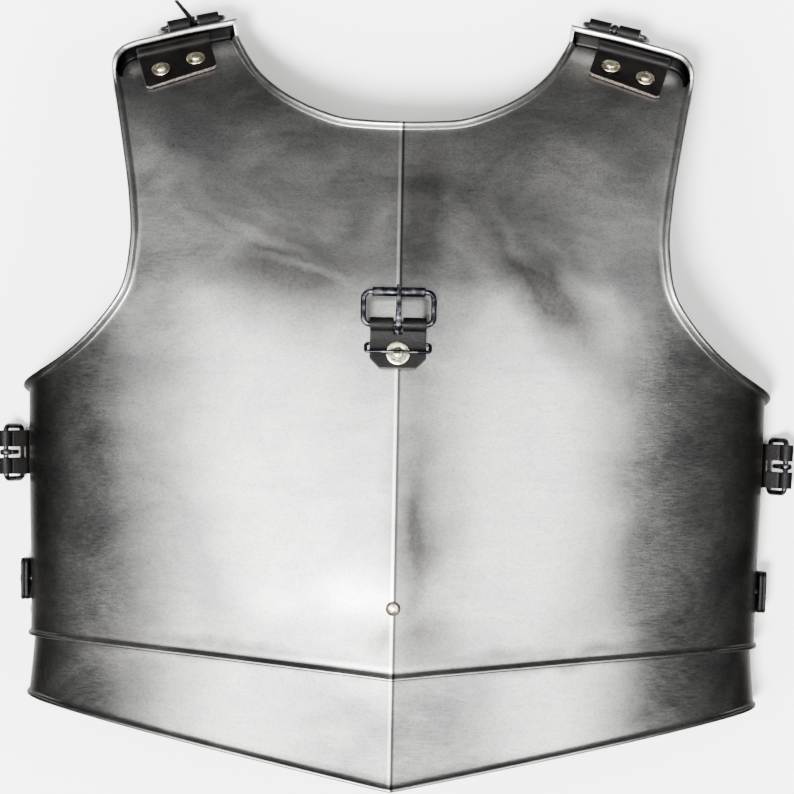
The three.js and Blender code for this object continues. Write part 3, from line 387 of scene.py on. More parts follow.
def seatAt(x, y):
    # Point and outward normal of the breastplate's face over a plan position, on either half.
    side = -1 if x < 0 else 1
    angle = math.asin(min(abs(x) / halfWidthAt(y), 1))
    point, normal = platePoint(angle, y), surfaceNormal(platePoint, angle, y)
    if abs(x) < 0.001:
        normal = Vector((0, normal.y, normal.z)).normalized()
    return Vector((point.x * side, point.y, point.z)), Vector((normal.x * side, normal.y, normal.z))


def frameAt(origin, first, third):
    # Placing matrix with local x along first and local z along third.
    w = third.normalized()
    u = (first - w * first.dot(w)).normalized()
    return basis(u, w.cross(u), w, origin)


def basis(u, v, w, origin):
    turn = Matrix((u, v, w)).transposed().to_4x4()
    turn.translation = origin
    return turn


def frameOnPlate(x, y):
    point, normal = seatAt(x, y)
    return frameAt(point, Vector((1, 0, 0)), normal)


def shift(x, y, z):
    return Matrix.Translation((x, y, z))


def turnX(degrees):
    return Matrix.Rotation(math.radians(degrees), 4, "X")


chest = {
    "barRise": 44, "rivetDistance": 16.3, "frameWidth": 42.4, "frameDepth": 18.4, "corner": 4,
    "strapWidth": 31.4, "strapLength": 24.4, "chamfer": 5.5, "washerRadius": 6.6,
    "keeperWidth": 36, "keeperCorner": 1.9, "keeperWire": 1, "keeperDistance": 10.7,
}
hardware = {
    "wire": 1.6, "barClearance": 0.35, "seatGap": 0.3, "leather": 2.2, "roller": 2.8, "rollerAbove": 1.2,
    "rollerEdge": 0.3, "rollerEnd": 0.4, "slotWidth": 5.4, "slotLength": 4.8, "slotEase": 1.2, "tail": 1,
    "tailGap": 0.9, "washer": 5.4, "washerThickness": 0.9, "cornerSoftness": 0.32,
}
strapRivet = {"head": 3.4, "rise": 1.8, "shank": 1.5}
domeRivet = {"head": 4.2, "rise": 2.6, "shank": 1.8}
seatGap, leather = hardware["seatGap"], hardware["leather"]
lift = seatGap + leather
foldTop = 2 * seatGap + 2 * leather  # upper face of a folded strap
headOnFold = foldTop + hardware["washerThickness"] + seatGap
chestSeat = frameOnPlate(0, chest["barRise"] - chest["rivetDistance"])
chestBarHeight = max(lift, hardware["roller"] + seatGap + hardware["rollerAbove"])
chestSite = chestSeat @ shift(0, chest["rivetDistance"], chestBarHeight)
joints = {joint["name"]: joint for joint in frame["record"]["behaviour"]["joints"]}
# Finished pieces are moved from the arm holes' corner to the frame's origin.
chestBar = Vector(joints["chest_frame_swing"]["pos_m"]) / mm
toFrame = Matrix.Scale(mm, 4) @ Matrix.Translation(chestBar - chestSite.translation)


def finishPiece(bm, name, materials, body, nodes, sharpAngle=40):
    # Edges over the angle stay sharp, and so does the keel of a sheet.
    bmesh.ops.transform(bm, matrix=toFrame, verts=bm.verts)
    for face in bm.faces:
        face.smooth = True
    for edge in bm.edges:
        edge.smooth = edge.calc_face_angle(0) < math.radians(sharpAngle)
        if name.endswith("_sheet") and max(abs(v.co.x) for v in edge.verts) < 0.01 * mm:
            edge.smooth = edge.calc_face_angle(0) < math.radians(plate["creaseAngle"])
    mesh = bpy.data.meshes.new(name)
    bm.to_mesh(mesh)
    bm.free()
    piece = bpy.data.objects.new(name, mesh)
    bpy.context.collection.objects.link(piece)
    for material in materials:
        mesh.materials.append(material)
    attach(piece, body)
    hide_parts(*nodes)
    return piece


# Materials


def addPatch(tree, place, patch):
    # Oval mask with a soft edge at a place on the chest, turned in plan.
    centre = toFrame @ Vector((patch["x"], patch["y"], 0))
    moved = addNode(tree, "ShaderNodeMapping", {
        "vector_type": "TEXTURE",
        "Location": (centre.x, centre.y, 0),
        "Rotation": (0, 0, math.radians(patch["turn"])),
        "Scale": (patch["long"] * mm, patch["wide"] * mm, 1),
    }, {"Vector": place})
    flat = addNode(tree, "ShaderNodeVectorMath", {"operation": "MULTIPLY", 1: (1, 1, 0)},
                   {0: moved.outputs["Vector"]})
    ball = addNode(tree, "ShaderNodeTexGradient", {"gradient_type": "SPHERICAL"},
                   {"Vector": flat.outputs["Vector"]})
    mask = addNode(tree, "ShaderNodeMapRange", {"From Max": patch["edge"], "To Max": patch["strength"]},
                   {"Value": ball.outputs["Fac"]})
    return mask.outputs["Result"]


def addPatches(tree, place, patches):
    total = None
    for patch in patches:
        mask = addPatch(tree, place, patch)
        if total is not None:
            links = {0: total, 1: mask}
            mask = addNode(tree, "ShaderNodeMath", {"operation": "MAXIMUM"}, links).outputs["Value"]
        total = mask
    return total


# Darker patches on the upper chest, painted shade beside the keel and above the lower edge, and lighter streaks
# through the chest patches.
darkPatchesAndShade = [
    {"x": -58, "y": 74, "turn": -16, "long": 72, "wide": 44, "edge": 0.75, "strength": 0.9},
    {"x": -90, "y": 100, "turn": -38, "long": 50, "wide": 30, "edge": 0.7, "strength": 0.55},
    {"x": 80, "y": 68, "turn": -50, "long": 88, "wide": 25, "edge": 0.75, "strength": 0.95},
    {"x": 92, "y": 92, "turn": -52, "long": 40, "wide": 14, "edge": 0.8, "strength": 0.5},
    # Painted shade just right of the keel's crest, from the upper chest to its lower end, with a painted shadow
    # under the chest buckle.
    {"x": 13, "y": 104, "turn": 84, "long": 56, "wide": 20, "edge": 0.6, "strength": 0.75},
    {"x": 12, "y": -70, "turn": 90, "long": 110, "wide": 22, "edge": 0.9, "strength": 1.0},
    {"x": 24, "y": -70, "turn": 90, "long": 90, "wide": 22, "edge": 1.0, "strength": 0.35},
    {"x": 10, "y": 12, "turn": 90, "long": 40, "wide": 9, "edge": 0.6, "strength": 0.4},
    {"x": -6, "y": -130, "turn": 60, "long": 18, "wide": 9, "edge": 0.8, "strength": 0.6},
    {"x": 16, "y": -124, "turn": 80, "long": 38, "wide": 26, "edge": 0.9, "strength": 0.75},
    # Painted shade in a band just above the lower turned edge, where the plate curves in.
    {"x": -95, "y": -139, "turn": -5, "long": 130, "wide": 9, "edge": 0.8, "strength": 0.6},
    {"x": 95, "y": -139, "turn": 5, "long": 130, "wide": 9, "edge": 0.8, "strength": 0.6},
]
# Painted shade as a thin line just right of the keel's crest, a painted highlight as a thin line just left of
# it, and painted shade down the flanks, by their distance from a line along the body.
steelBands = [
    {"shade": "stainAndShade", "x": 0.9, "from": 0.4, "to": 1.1, "strength": (0.9, 0)},
    {"shade": "paintedHighlight", "x": -0.8, "from": 0.4, "to": 1.1, "strength": (0.7, 0)},
    {"shade": "stainAndShade", "x": 0, "from": 178, "to": 205, "strength": (0, 0.75)},
]
lighterStreaks = [
    {"x": -76, "y": 92, "turn": -24, "long": 46, "wide": 5, "edge": 1.0, "strength": 0.6},
    {"x": -62, "y": 100, "turn": -16, "long": 36, "wide": 4, "edge": 1.0, "strength": 0.4},
    {"x": -52, "y": 76, "turn": -14, "long": 34, "wide": 3.5, "edge": 1.0, "strength": 0.45},
    {"x": 62, "y": 96, "turn": -48, "long": 30, "wide": 6, "edge": 1.0, "strength": 0.45},
]


steelNoise = {
    "grain": {"size": 0.9, "stretch": (0.15, 1, 0.15), "detail": 4, "roughness": 0.6},
    "broadGrain": {"size": 5, "stretch": (0.12, 1, 0.12), "detail": 4, "roughness": 0.6},
    "fleck": {"size": 0.9, "stretch": (0.6, 1, 0.6), "detail": 3, "roughness": 0.7},
    "cloud": {"size": 60, "stretch": (1, 1.4, 1), "detail": 5, "roughness": 0.6, "distortion": 0.6},
    "speckle": {"size": 2.2, "stretch": (1, 1, 1), "detail": 4, "roughness": 0.75},
}
steelLayers = [
    {"shade": "high", "noise": "cloud", "from": 0.35, "to": 0.65, "strength": 1},
    {"shade": "grain", "noise": "broadGrain", "from": 0.5, "to": 0.8, "strength": 0.3},
    {"shade": "grain", "noise": "speckle", "from": 0.5, "to": 0.75, "strength": 0.5},
    {"shade": "stainAndShade", "noise": "fleck", "from": 0.45, "to": 0.7, "strength": 0.4},
]


# Steel of the plates: mild steel sheet, planished, then polished round the body with a coarse belt.
# The eye sees a satin grey with fine grain round the body, cloudy tone and darker patches with lighter streaks;
# painted shade and a painted highlight run beside the keel, and painted shade lies on the flanks and above the
# lower edge.
def makePlateSteel(name, shades):
    material, tree, shader, place = startMaterial(name, {
        "Metallic": 1.0, "Specular Tint": srgb(shades["rim"]),
    })
    noises = {}
    for use, row in steelNoise.items():
        moved = addNode(tree, "ShaderNodeMapping", {"Scale": row["stretch"]}, {"Vector": place})
        noises[use] = addNode(tree, "ShaderNodeTexNoise", {
            "Scale": perMetre(row["size"]), "Detail": row["detail"], "Roughness": row["roughness"],
            "Distortion": row.get("distortion", 0),
        }, {"Vector": moved.outputs["Vector"]}).outputs["Fac"]

    # Dark patches and painted shade with an uneven outline, lighter streaks taken out, and speckled
    drift = addNode(tree, "ShaderNodeTexNoise", {"Scale": perMetre(26), "Detail": 3.0}, {"Vector": place})
    offset = addNode(tree, "ShaderNodeVectorMath", {"operation": "MULTIPLY_ADD", 1: (0.02, 0.02, 0)},
                     {0: drift.outputs["Color"], 2: place})
    centred = addNode(tree, "ShaderNodeVectorMath", {"operation": "SUBTRACT", 1: (0.01, 0.01, 0)},
                      {0: offset.outputs["Vector"]}).outputs["Vector"]
    mask = addNode(tree, "ShaderNodeMath", {"operation": "SUBTRACT", "use_clamp": True},
                   {0: addPatches(tree, centred, darkPatchesAndShade), 1: addPatches(tree, centred, lighterStreaks)})
    speckled = addNode(tree, "ShaderNodeMapRange", {
        "From Min": 0.3, "From Max": 0.7, "To Min": 0.92, "To Max": 1.05,
    }, {"Value": noises["speckle"]})
    patchesAndShade = addNode(tree, "ShaderNodeMath", {"operation": "MULTIPLY"},
                     {0: mask.outputs["Value"], 1: speckled.outputs["Result"]}).outputs["Value"]

    # Shades laid over each other, each by its own mask
    masks = []
    for layer in steelLayers:
        share = addNode(tree, "ShaderNodeMapRange", {
            "From Min": layer["from"], "From Max": layer["to"], "To Max": layer["strength"],
        }, {"Value": noises[layer["noise"]]})
        masks.append((layer["shade"], share.outputs["Result"]))
    masks.append(("stainAndShade", patchesAndShade))
    across = addNode(tree, "ShaderNodeSeparateXYZ", links={"Vector": place}).outputs["X"]
    for band in steelBands:
        away = addNode(tree, "ShaderNodeMath", {"operation": "SUBTRACT", 1: band["x"] * mm}, {0: across})
        size = addNode(tree, "ShaderNodeMath", {"operation": "ABSOLUTE"}, {0: away.outputs["Value"]})
        share = addNode(tree, "ShaderNodeMapRange", {
            "From Min": band["from"] * mm, "From Max": band["to"] * mm,
            "To Min": band["strength"][0], "To Max": band["strength"][1],
        }, {"Value": size.outputs["Value"]})
        masks.append((band["shade"], share.outputs["Result"]))
    below = {}
    for shade, share in masks:
        mixed = addNode(tree, "ShaderNodeMix", {
            "data_type": "RGBA", 6: srgb(shades["low"]), 7: srgb(shades[shade]),
        }, {0: share, **below})
        below = {6: mixed.outputs[2]}
    tree.links.new(below[6], shader.inputs["Base Color"])

    # Roughness: cloudy, finely grained, and duller under the dark patches and the painted shade
    soft = addNode(tree, "ShaderNodeMapRange", {
        "From Min": 0.3, "From Max": 0.7, "To Min": 0.3, "To Max": 0.38,
    }, {"Value": noises["cloud"]})
    fine = addNode(tree, "ShaderNodeMapRange", {
        "From Min": 0.3, "From Max": 0.7, "To Min": -0.04, "To Max": 0.04,
    }, {"Value": noises["grain"]})
    total = addNode(tree, "ShaderNodeMath", {"operation": "ADD"},
                    {0: soft.outputs["Result"], 1: fine.outputs["Result"]})
    worn = addNode(tree, "ShaderNodeMath", {"operation": "MULTIPLY_ADD", 1: 0.1},
                   {0: patchesAndShade, 2: total.outputs["Value"]})
    tree.links.new(worn.outputs["Value"], shader.inputs["Roughness"])
    bump = addNode(tree, "ShaderNodeBump", {"Strength": 0.15, "Distance": 0.06 * mm},
                   {"Height": noises["grain"]})
    tree.links.new(bump.outputs["Normal"], shader.inputs["Normal"])
    return material


def makeCloudy(name, look):
    # A finish of two shades, with its roughness and relief, as one row of sizes in millimetres.
    material, tree, shader, place = startMaterial(name, look["shader"])
    noises = {}
    for use in ("cloud", "relief"):
        size, detail, roughness = look[use]
        noises[use] = addNode(tree, "ShaderNodeTexNoise", {
            "Scale": perMetre(size), "Detail": detail, "Roughness": roughness,
        }, {"Vector": place}).outputs["Fac"]
    share = addNode(tree, "ShaderNodeMapRange", {"From Min": look["blend"][0], "From Max": look["blend"][1]},
                    {"Value": noises["cloud"]})
    colour = addNode(tree, "ShaderNodeMix", {
        "data_type": "RGBA", 6: srgb(look["dark"]), 7: srgb(look["light"]),
    }, {0: share.outputs["Result"]})
    tree.links.new(colour.outputs[2], shader.inputs["Base Color"])
    if "roughness" in look:
        rough = addNode(tree, "ShaderNodeMapRange", {
            "From Min": 0.3, "From Max": 0.7, "To Min": look["roughness"][0], "To Max": look["roughness"][1],
        }, {"Value": noises["cloud"]})
        tree.links.new(rough.outputs["Result"], shader.inputs["Roughness"])
    height = noises["relief"]
    if "pebble" in look:
        pebble = addNode(tree, "ShaderNodeTexVoronoi", {"Scale": perMetre(look["pebble"])}, {"Vector": place})
        height = addNode(tree, "ShaderNodeMath", {"operation": "ADD"},
                         {0: pebble.outputs["Distance"], 1: height}).outputs["Value"]
    bump = addNode(tree, "ShaderNodeBump", {"Strength": look["bump"][0], "Distance": look["bump"][1] * mm},
                   {"Height": height})
    tree.links.new(bump.outputs["Normal"], shader.inputs["Normal"])
    return material


plateSteel = makePlateSteel("polishedMildSteelSheet", {
    "low": "#8b8b8a", "high": "#a5a4a1", "grain": "#727271", "stainAndShade": "#383736", "paintedHighlight": "#cfcecb",
    "rim": "#8a8a8a",
})
# The same sheet on the shoulder flanges' rims, made light as a painted highlight where the bead would catch the
# overhead light.
highlightRimSteel = makePlateSteel("paintedHighlightSteelRim", {
    "low": "#c2c1bd", "high": "#e6e5e1", "grain": "#b0afab", "stainAndShade": "#8a8986", "paintedHighlight": "#e6e5e1",
    "rim": "#cfcfcf",
})
# The same sheet inside the shoulder flanges, made near black as painted shade for the dark that the hollow wall
# mirrors.
shadedFlangeSteel = makePlateSteel("paintedShadeFlangeSteel", {
    "low": "#1b1b1b", "high": "#2c2b2b", "grain": "#161616", "stainAndShade": "#101010", "paintedHighlight": "#1b1b1b",
    "rim": "#3a3a3a",
})
# Rivets and washers: cast-headed mild steel, hammered over and left bright.
rivetSteel = makeCloudy("hammeredBrightSteel", {
    "shader": {"Metallic": 1.0}, "dark": "#a39c86", "light": "#d6cfb6", "blend": (0.35, 0.65),
    "roughness": (0.22, 0.42), "cloud": (4, 4, 0.6), "relief": (1.6, 2, 0.5), "bump": (0.5, 0.3),
})
# Buckles: bent steel wire, blackened in oil and rubbed bright where it is handled.
buckleSteel = makeCloudy("oilBlackenedSteelWire", {
    "shader": {"Metallic": 1.0}, "dark": "#1a1b1f", "light": "#6b6c70", "blend": (0.45, 0.75),
    "roughness": (0.3, 0.45), "cloud": (5, 5, 0.65), "relief": (0.8, 3, 0.6), "bump": (0.25, 0.1),
})
# Leather: vegetable-tanned cowhide, dyed near black and oiled, with a fine pebble and dull wear.
blackLeather = makeCloudy("dyedCowhide", {
    "shader": {"Metallic": 0.0, "Specular IOR Level": 0.1}, "dark": "#040303", "light": "#0d0a0a",
    "blend": (0.4, 0.75), "roughness": (0.42, 0.62), "cloud": (14, 5, 0.6), "relief": (3.5, 4, 0.6),
    "pebble": 1.1, "bump": (0.45, 0.2),
})
# Cut edge of the same hide: undyed fibres show a pale brown grey along the knife's cut.
cutEdge = makeCloudy("cutHideEdge", {
    "shader": {"Metallic": 0.0, "Roughness": 0.75}, "dark": "#1a1513", "light": "#6e625a",
    "blend": (0.4, 0.7), "cloud": (1.2, 4, 0.7), "relief": (1.2, 4, 0.7), "bump": (0.5, 0.2),
})
leatherFinish = [blackLeather, cutEdge, blackLeather, blackLeather]
print("materials made")

# Sheet plates with turned edges


def gridRows(bm, across, along):
    # A flat grid, as rows of its vertices.
    made = bmesh.ops.create_grid(bm, x_segments=across, y_segments=along, size=0.5)["verts"]
    ordered = sorted(made, key=lambda v: (round(v.co.y, 5), round(v.co.x, 5)))
    width = len({round(v.co.x, 5) for v in made})
    return [ordered[i:i + width] for i in range(0, len(ordered), width)]


def skin(bm, across, along, spotAt, offset):
    # One face of a sheet: the grid is laid on the form, offset along its normals.
    rows = gridRows(bm, across, along)
    spots = []
    for r, row in enumerate(rows):
        line = [spotAt(c / (len(row) - 1), r / (len(rows) - 1)) for c in range(len(row))]
        for vert, (point, normal) in zip(row, line):
            vert.co = point + normal * offset
        spots.append(line)
    return rows, spots


def drawOn(bm, ring, edges):
    # Extrudes a chain of points and gives the new chain in the same order, with the new faces.
    made = bmesh.ops.extrude_edge_only(bm, edges=edges)["geom"]
    fresh = {g for g in made if isinstance(g, bmesh.types.BMVert)}
    ring = [next(e.other_vert(v) for e in v.link_edges if e.other_vert(v) in fresh) for v in ring]
    return ring, [g for g in made if isinstance(g, bmesh.types.BMFace)]


def turnEdge(bm, chain, tracks, darkSteps=0, brightSteps=0, columns=range(0)):
    # Draws an edge out step by step, each vertex along its own track.
    ring = chain
    for step in range(len(tracks[0])):
        finish = 1 if step < darkSteps else 2 if step < brightSteps else 0
        standing = {ring[c] for c in columns}
        edges = [bm.edges.get((a, b)) for a, b in zip(ring, ring[1:])]
        ring, faces = drawOn(bm, ring, edges)
        for face in faces:
            face.material_index = finish if standing.intersection(face.verts) else 0
        for vert, track in zip(ring, tracks):
            vert.co = track[step]


def outAlong(spots):
    # Direction out of the sheet at each point of an edge.
    last = len(spots) - 1
    found = []
    for i, (_, normal) in enumerate(spots):
        along = spots[min(i + 1, last)][0] - spots[max(i - 1, 0)][0]
        found.append(along.cross(normal).normalized())
    return found


def smoothProfile(points):
    # A turned edge's path from the outer face of the sheet to its inner face.
    points = [*points, Vector((0, -plate["thickness"]))]
    steps = (len(points) - 1) * plate["profileSteps"]
    return [splinePoint(points, i / steps) for i in range(steps + 1)]


def sized(shape, width, rise):
    return [Vector((row["out"] * width, row["rise"] * rise)) for row in shape]


rollProfile = smoothProfile(sized(rollShape, plate["rollWidth"], plate["rollRise"]))
edgeProfile = smoothProfile(sized(edgeShape, plate["edgeWidth"], plate["edgeRise"]))


def makeFlangeProfile():
    # A short bend, the standing wall, a bead on its rim and the wall's back.
    front, bead, top = plate["flangeFront"], plate["beadRadius"], plate["flangeHeight"]
    centre, back = front + plate["thickness"] / 2, front + plate["thickness"]
    return smoothProfile([Vector(p) for p in (
        (0, 0), (0.7 * front, 0.4), (front, 2), (front, top - 2.4 * bead),
        (centre - bead, top - 1.2 * bead), (centre - 0.4 * bead, top - 0.1 * bead),
        (centre + 0.7 * bead, top - 0.3 * bead), (centre + bead, top - 1.2 * bead),
        (back, top - 2.4 * bead), (back, 0.2),
    )])


flangeProfile = makeFlangeProfile()


def trackOf(spot, out, profile):
    point, normal = spot
    return [point + out * p.x + normal * p.y for p in profile[1:]]


def fadedEdge(spot):
    # The turned edge lies flatter towards the side of the body.
    fade = lerp(plate["edgeAtSide"], 1, smoothStep(spot[1].z, 0.05, 0.55))
    return [Vector((p.x, p.y * fade if p.y > 0 else p.y)) for p in edgeProfile]


def closeHalf(bm):
    # Closes the flat ends on the floor, adds the left half and turns every face outwards.
    bmesh.ops.remove_doubles(bm, verts=bm.verts, dist=0.0005)
    openEdges = [e for e in bm.edges if e.is_boundary and max(abs(v.co.x) for v in e.verts) > 1]
    bmesh.ops.holes_fill(bm, edges=openEdges, sides=0)
    bmesh.ops.mirror(bm, geom=bm.verts[:] + bm.edges[:] + bm.faces[:], merge_dist=0.0005, axis="X")
    bmesh.ops.remove_doubles(bm, verts=bm.verts, dist=0.0005)
    bmesh.ops.recalc_face_normals(bm, faces=bm.faces)


def makeBreastplate():
    bm = bmesh.new()
    across, along = plate["across"], plate["along"]
    rows, spots = skin(bm, across, along, plateSpot, 0)
    skin(bm, across, along, plateSpot, -plate["thickness"])
    last = len(rows) - 1
    corner = round(last * sideShare)
    neckStart = round(last * middleShare)

    # Lower edge
    bottom = spots[0]
    outs = outAlong(bottom)
    outs[0] = Vector((0, outs[0].y, outs[0].z)).normalized()
    outs[-1] = Vector((0, -1, 0))
    turnEdge(bm, rows[0], [trackOf(s, o, fadedEdge(s)) for s, o in zip(bottom, outs)])

    # Plain side on the floor
    side = [(rows[r][-1], spots[r][-1]) for r in range(corner + 1)]
    inner = [[s[0] - s[1] * plate["thickness"]] for _, s in side]
    turnEdge(bm, [v for v, _ in side], inner)

    # Arm hole, shoulder and neck in one run
    arm = [(rows[r][-1], spots[r][-1]) for r in range(corner, last + 1)]
    top = [(rows[last][c], spots[last][c]) for c in range(len(rows[last]) - 2, -1, -1)]
    neck = [(rows[r][0], spots[r][0]) for r in range(last - 1, neckStart - 1, -1)]
    outer = arm + top
    outerSpots = [s for _, s in outer]
    outerOuts = outAlong(outerSpots)
    outerOuts[0] = Vector((0, 1, 0))
    neckSpots = [top[-1][1]] + [s for _, s in neck]
    neckOuts = outAlong(neckSpots)
    neckOuts[-1] = Vector((0, neckOuts[-1].y, neckOuts[-1].z)).normalized()
    wrapTop = shoulderOuterRise - 0.5 * plate["flangeWrap"]
    tracks = []
    for spot, out in zip(outerSpots, outerOuts):
        share = smoothStep(spot[0].y, wrapTop - plate["flangeWrap"], wrapTop)
        profile = [a.lerp(b, share) for a, b in zip(rollProfile, flangeProfile)]
        tracks.append(trackOf(spot, out, profile))
    point, normal = neckSpots[0]
    tracks[-1] = [point + outerOuts[-1] * f.x + neckOuts[0] * r.x + normal * f.y
                  for f, r in zip(flangeProfile[1:], rollProfile[1:])]
    tracks += [trackOf(s, o, rollProfile) for s, o in zip(neckSpots[1:], neckOuts[1:])]
    standing = [i for i, s in enumerate(outerSpots) if s[0].y > wrapTop - plate["flangeWrap"] * 0.4]
    # The flange's wall takes painted shade for the first steps and its bead a painted highlight for the steps
    # after them.
    turnEdge(bm, [v for v, _ in outer + neck], tracks, plate["shadedSteps"], plate["highlightSteps"], standing)
    closeHalf(bm)
    print("breastplate: open edges", sum(e.is_boundary for e in bm.edges), "faces", len(bm.faces))
    finishPiece(bm, "breastplate_sheet", [plateSteel, shadedFlangeSteel, highlightRimSteel], "armour", ["breastplate"])


def makeFauld():
    bm = bmesh.new()
    rows, spots = skin(bm, plate["across"], plate["fauldAlong"], fauldSpot, 0)
    skin(bm, plate["across"], plate["fauldAlong"], fauldSpot, -plate["thickness"])
    outs = outAlong(spots[0])
    outs[0] = Vector((0, outs[0].y, outs[0].z)).normalized()
    outs[-1] = Vector((0, -1, 0))
    turnEdge(bm, rows[0], [trackOf(s, o, fadedEdge(s)) for s, o in zip(spots[0], outs)])
    plain = [(row[-1], line[-1]) for row, line in zip(rows, spots)]
    plain += [(v, s) for v, s in zip(rows[-1][-2::-1], spots[-1][-2::-1])]
    turnEdge(bm, [v for v, _ in plain], [[s[0] - s[1] * plate["thickness"]] for _, s in plain])
    closeHalf(bm)
    print("fauld: open edges", sum(e.is_boundary for e in bm.edges), "faces", len(bm.faces))
    finishPiece(bm, "fauld_sheet", [plateSteel], "armour", ["fauld"])


makeBreastplate()
makeFauld()
print("plates made")

# Rivets and washers


def spun(profile, steps=32):
    # Turns a profile of radius and height about local z.
    bm = bmesh.new()
    verts = [bm.verts.new((radius, 0, height)) for radius, height in profile]
    edges = [bm.edges.new(pair) for pair in zip(verts, verts[1:])]
    bmesh.ops.spin(bm, geom=verts + edges, cent=(0, 0, 0), axis=(0, 0, 1), angle=2 * math.pi,
                   steps=steps, use_merge=True)
    bmesh.ops.remove_doubles(bm, verts=bm.verts, dist=0.001)
    bmesh.ops.recalc_face_normals(bm, faces=bm.faces)
    return bm


hammerMarks = {"rivetDepth": 0.16, "rivetSize": 1.9, "washerDepth": 0.12, "washerSize": 2.4}


def seedOf(name, count):
    # A number that is the same for a name on every run.
    return sum(map(ord, name)) % count


def finishHammered(bm, name, place, depth, size, seed):
    bm.normal_update()
    for vert in bm.verts:
        vert.co += vert.normal * noise.noise(vert.co / size + Vector((seed, 0, 0))) * depth
    bmesh.ops.transform(bm, matrix=place, verts=bm.verts)
    finishPiece(bm, name + "_smooth", [rivetSteel], "armour", [name])


def makeRivet(name, place, kind, headSeat, tailSeat):
    head, rise, shank, tail = kind["head"], kind["rise"], kind["shank"], hardware["tail"]
    dome = [(head * math.cos(a), headSeat + rise * math.sin(a))
            for a in (math.radians(d) for d in (12, 26, 40, 54, 68, 80))]
    profile = [(0, tailSeat - tail), (head * 0.5, tailSeat - tail * 0.95),
               (head * 0.74, tailSeat - tail * 0.5), (head * 0.8, tailSeat), (shank, tailSeat),
               (shank, headSeat), (head * 0.98, headSeat), *dome, (0, headSeat + rise)]
    finishHammered(spun(profile), name, place, hammerMarks["rivetDepth"], hammerMarks["rivetSize"],
                   seedOf(name, 17))


def makeWasher(name, place, radius):
    hole, thick = strapRivet["shank"] + seatGap, hardware["washerThickness"]
    profile = [(hole, 0), (radius * 0.97, 0), (radius, thick * 0.35), (radius * 0.985, thick * 0.7),
               (radius * 0.93, thick * 0.95), (radius * 0.8, thick), (hole * 1.1, thick * 0.92),
               (hole, thick * 0.8), (hole, 0)]
    finishHammered(spun(profile, 40), name, place, hammerMarks["washerDepth"], hammerMarks["washerSize"],
                   seedOf(name, 13))


fauldRivets = {"edgeDistance": 10, "sideHeight": 9, "ridgeDrop": 1.2}
# How far a plate falls away from the keel's crest within a rivet's tail.
ridgeDrop = fauldRivets["ridgeDrop"] * plate["keelHeight"] * domeRivet["head"] / plate["keelSpread"]


def sideFrame(side, y, height):
    # Placing matrix on the side wall: local z out of the plate, local y up.
    cosine = (height - plate["widestHeight"]) / depthAt(y)
    sine = math.sqrt(1 - cosine * cosine)
    grow = (halfWidthAt(y + 5) - halfWidthAt(y - 5)) / 10
    normal = Vector((side, -grow, halfWidthAt(y) * cosine / (depthAt(y) * sine))).normalized()
    return frameAt(Vector((side * halfWidthAt(y) * sine, y, height)), Vector((0, side, 0)), normal)


def makeFauldRivets():
    tailSeat = -(2 * plate["thickness"] + plate["plateGap"] + seatGap + ridgeDrop)
    centreY = fauldTop(0) - fauldRivets["edgeDistance"]
    sideY = fauldTop(math.pi / 2) - fauldRivets["edgeDistance"]
    cosine = (fauldRivets["sideHeight"] - plate["widestHeight"]) / depthAt(sideY)
    sideX = math.sin(math.acos(cosine)) * halfWidthAt(sideY)
    slope = (fauldRivets["sideHeight"] - plate["widestHeight"]) / plate["chestDepth"]
    seats = {"fauld_rivet_centre": frameOnPlate(0, centreY)}
    for side, name in ((-1, "fauld_rivet_left"), (1, "fauld_rivet_right")):
        seats[name] = frameAt(Vector((side * sideX, sideY, fauldRivets["sideHeight"])),
                              Vector((0, side, 0)), Vector((side, 0, slope)))
    for name, place in seats.items():
        makeRivet(name, place, domeRivet, seatGap, tailSeat)


makeFauldRivets()
print("waist rivets made")

# Buckles


def draw(bm, edges, way):
    # Draws a ring of edges straight on.
    made = bmesh.ops.extrude_edge_only(bm, edges=edges)["geom"]
    bmesh.ops.translate(bm, vec=way, verts=[g for g in made if isinstance(g, bmesh.types.BMVert)])
    return [g for g in made if isinstance(g, bmesh.types.BMEdge) and g.is_boundary]


def bend(bm, edges, centre, axis, degrees, steps):
    # Bends a ring of edges round a centre.
    verts = list({v for e in edges for v in e.verts})
    made = bmesh.ops.spin(bm, geom=verts + edges, cent=centre, axis=axis, angle=math.radians(degrees),
                          steps=steps)
    return [g for g in made["geom_last"] if isinstance(g, bmesh.types.BMEdge)]


def wireLoop(width, depth, corner, radius, sides=20, steps=7):
    # Rounded rectangle of wire in the local xy plane, from y 0 to depth.
    bm = bmesh.new()
    straight, side = width - 2 * corner, depth - 2 * corner
    start = shift(-straight / 2, 0, 0) @ Matrix.Rotation(math.pi / 2, 4, "Y")
    made = bmesh.ops.create_circle(bm, segments=sides, radius=radius, matrix=start)["verts"]
    ring = list({e for v in made for e in v.link_edges})
    centres = [(straight / 2, corner), (straight / 2, depth - corner),
               (-straight / 2, depth - corner), (-straight / 2, corner)]
    runs = [(straight, 0), (0, side), (-straight, 0), (0, -side)]
    for (x, y), (runX, runY) in zip(centres, runs):
        if abs(runX) + abs(runY) > 0.001:
            ring = draw(bm, ring, (runX, runY, 0))
        ring = bend(bm, ring, (x, y, 0), (0, 0, 1), 90, steps)
    bmesh.ops.remove_doubles(bm, verts=bm.verts, dist=0.002)
    bmesh.ops.recalc_face_normals(bm, faces=bm.faces)
    return bm


prong = {
    "width": 3.4, "thickness": 2.1, "flat": 0.42, "taper": 0.3, "tip": 0.55, "pastBar": 0.6, "tipEnd": 0.4,
}


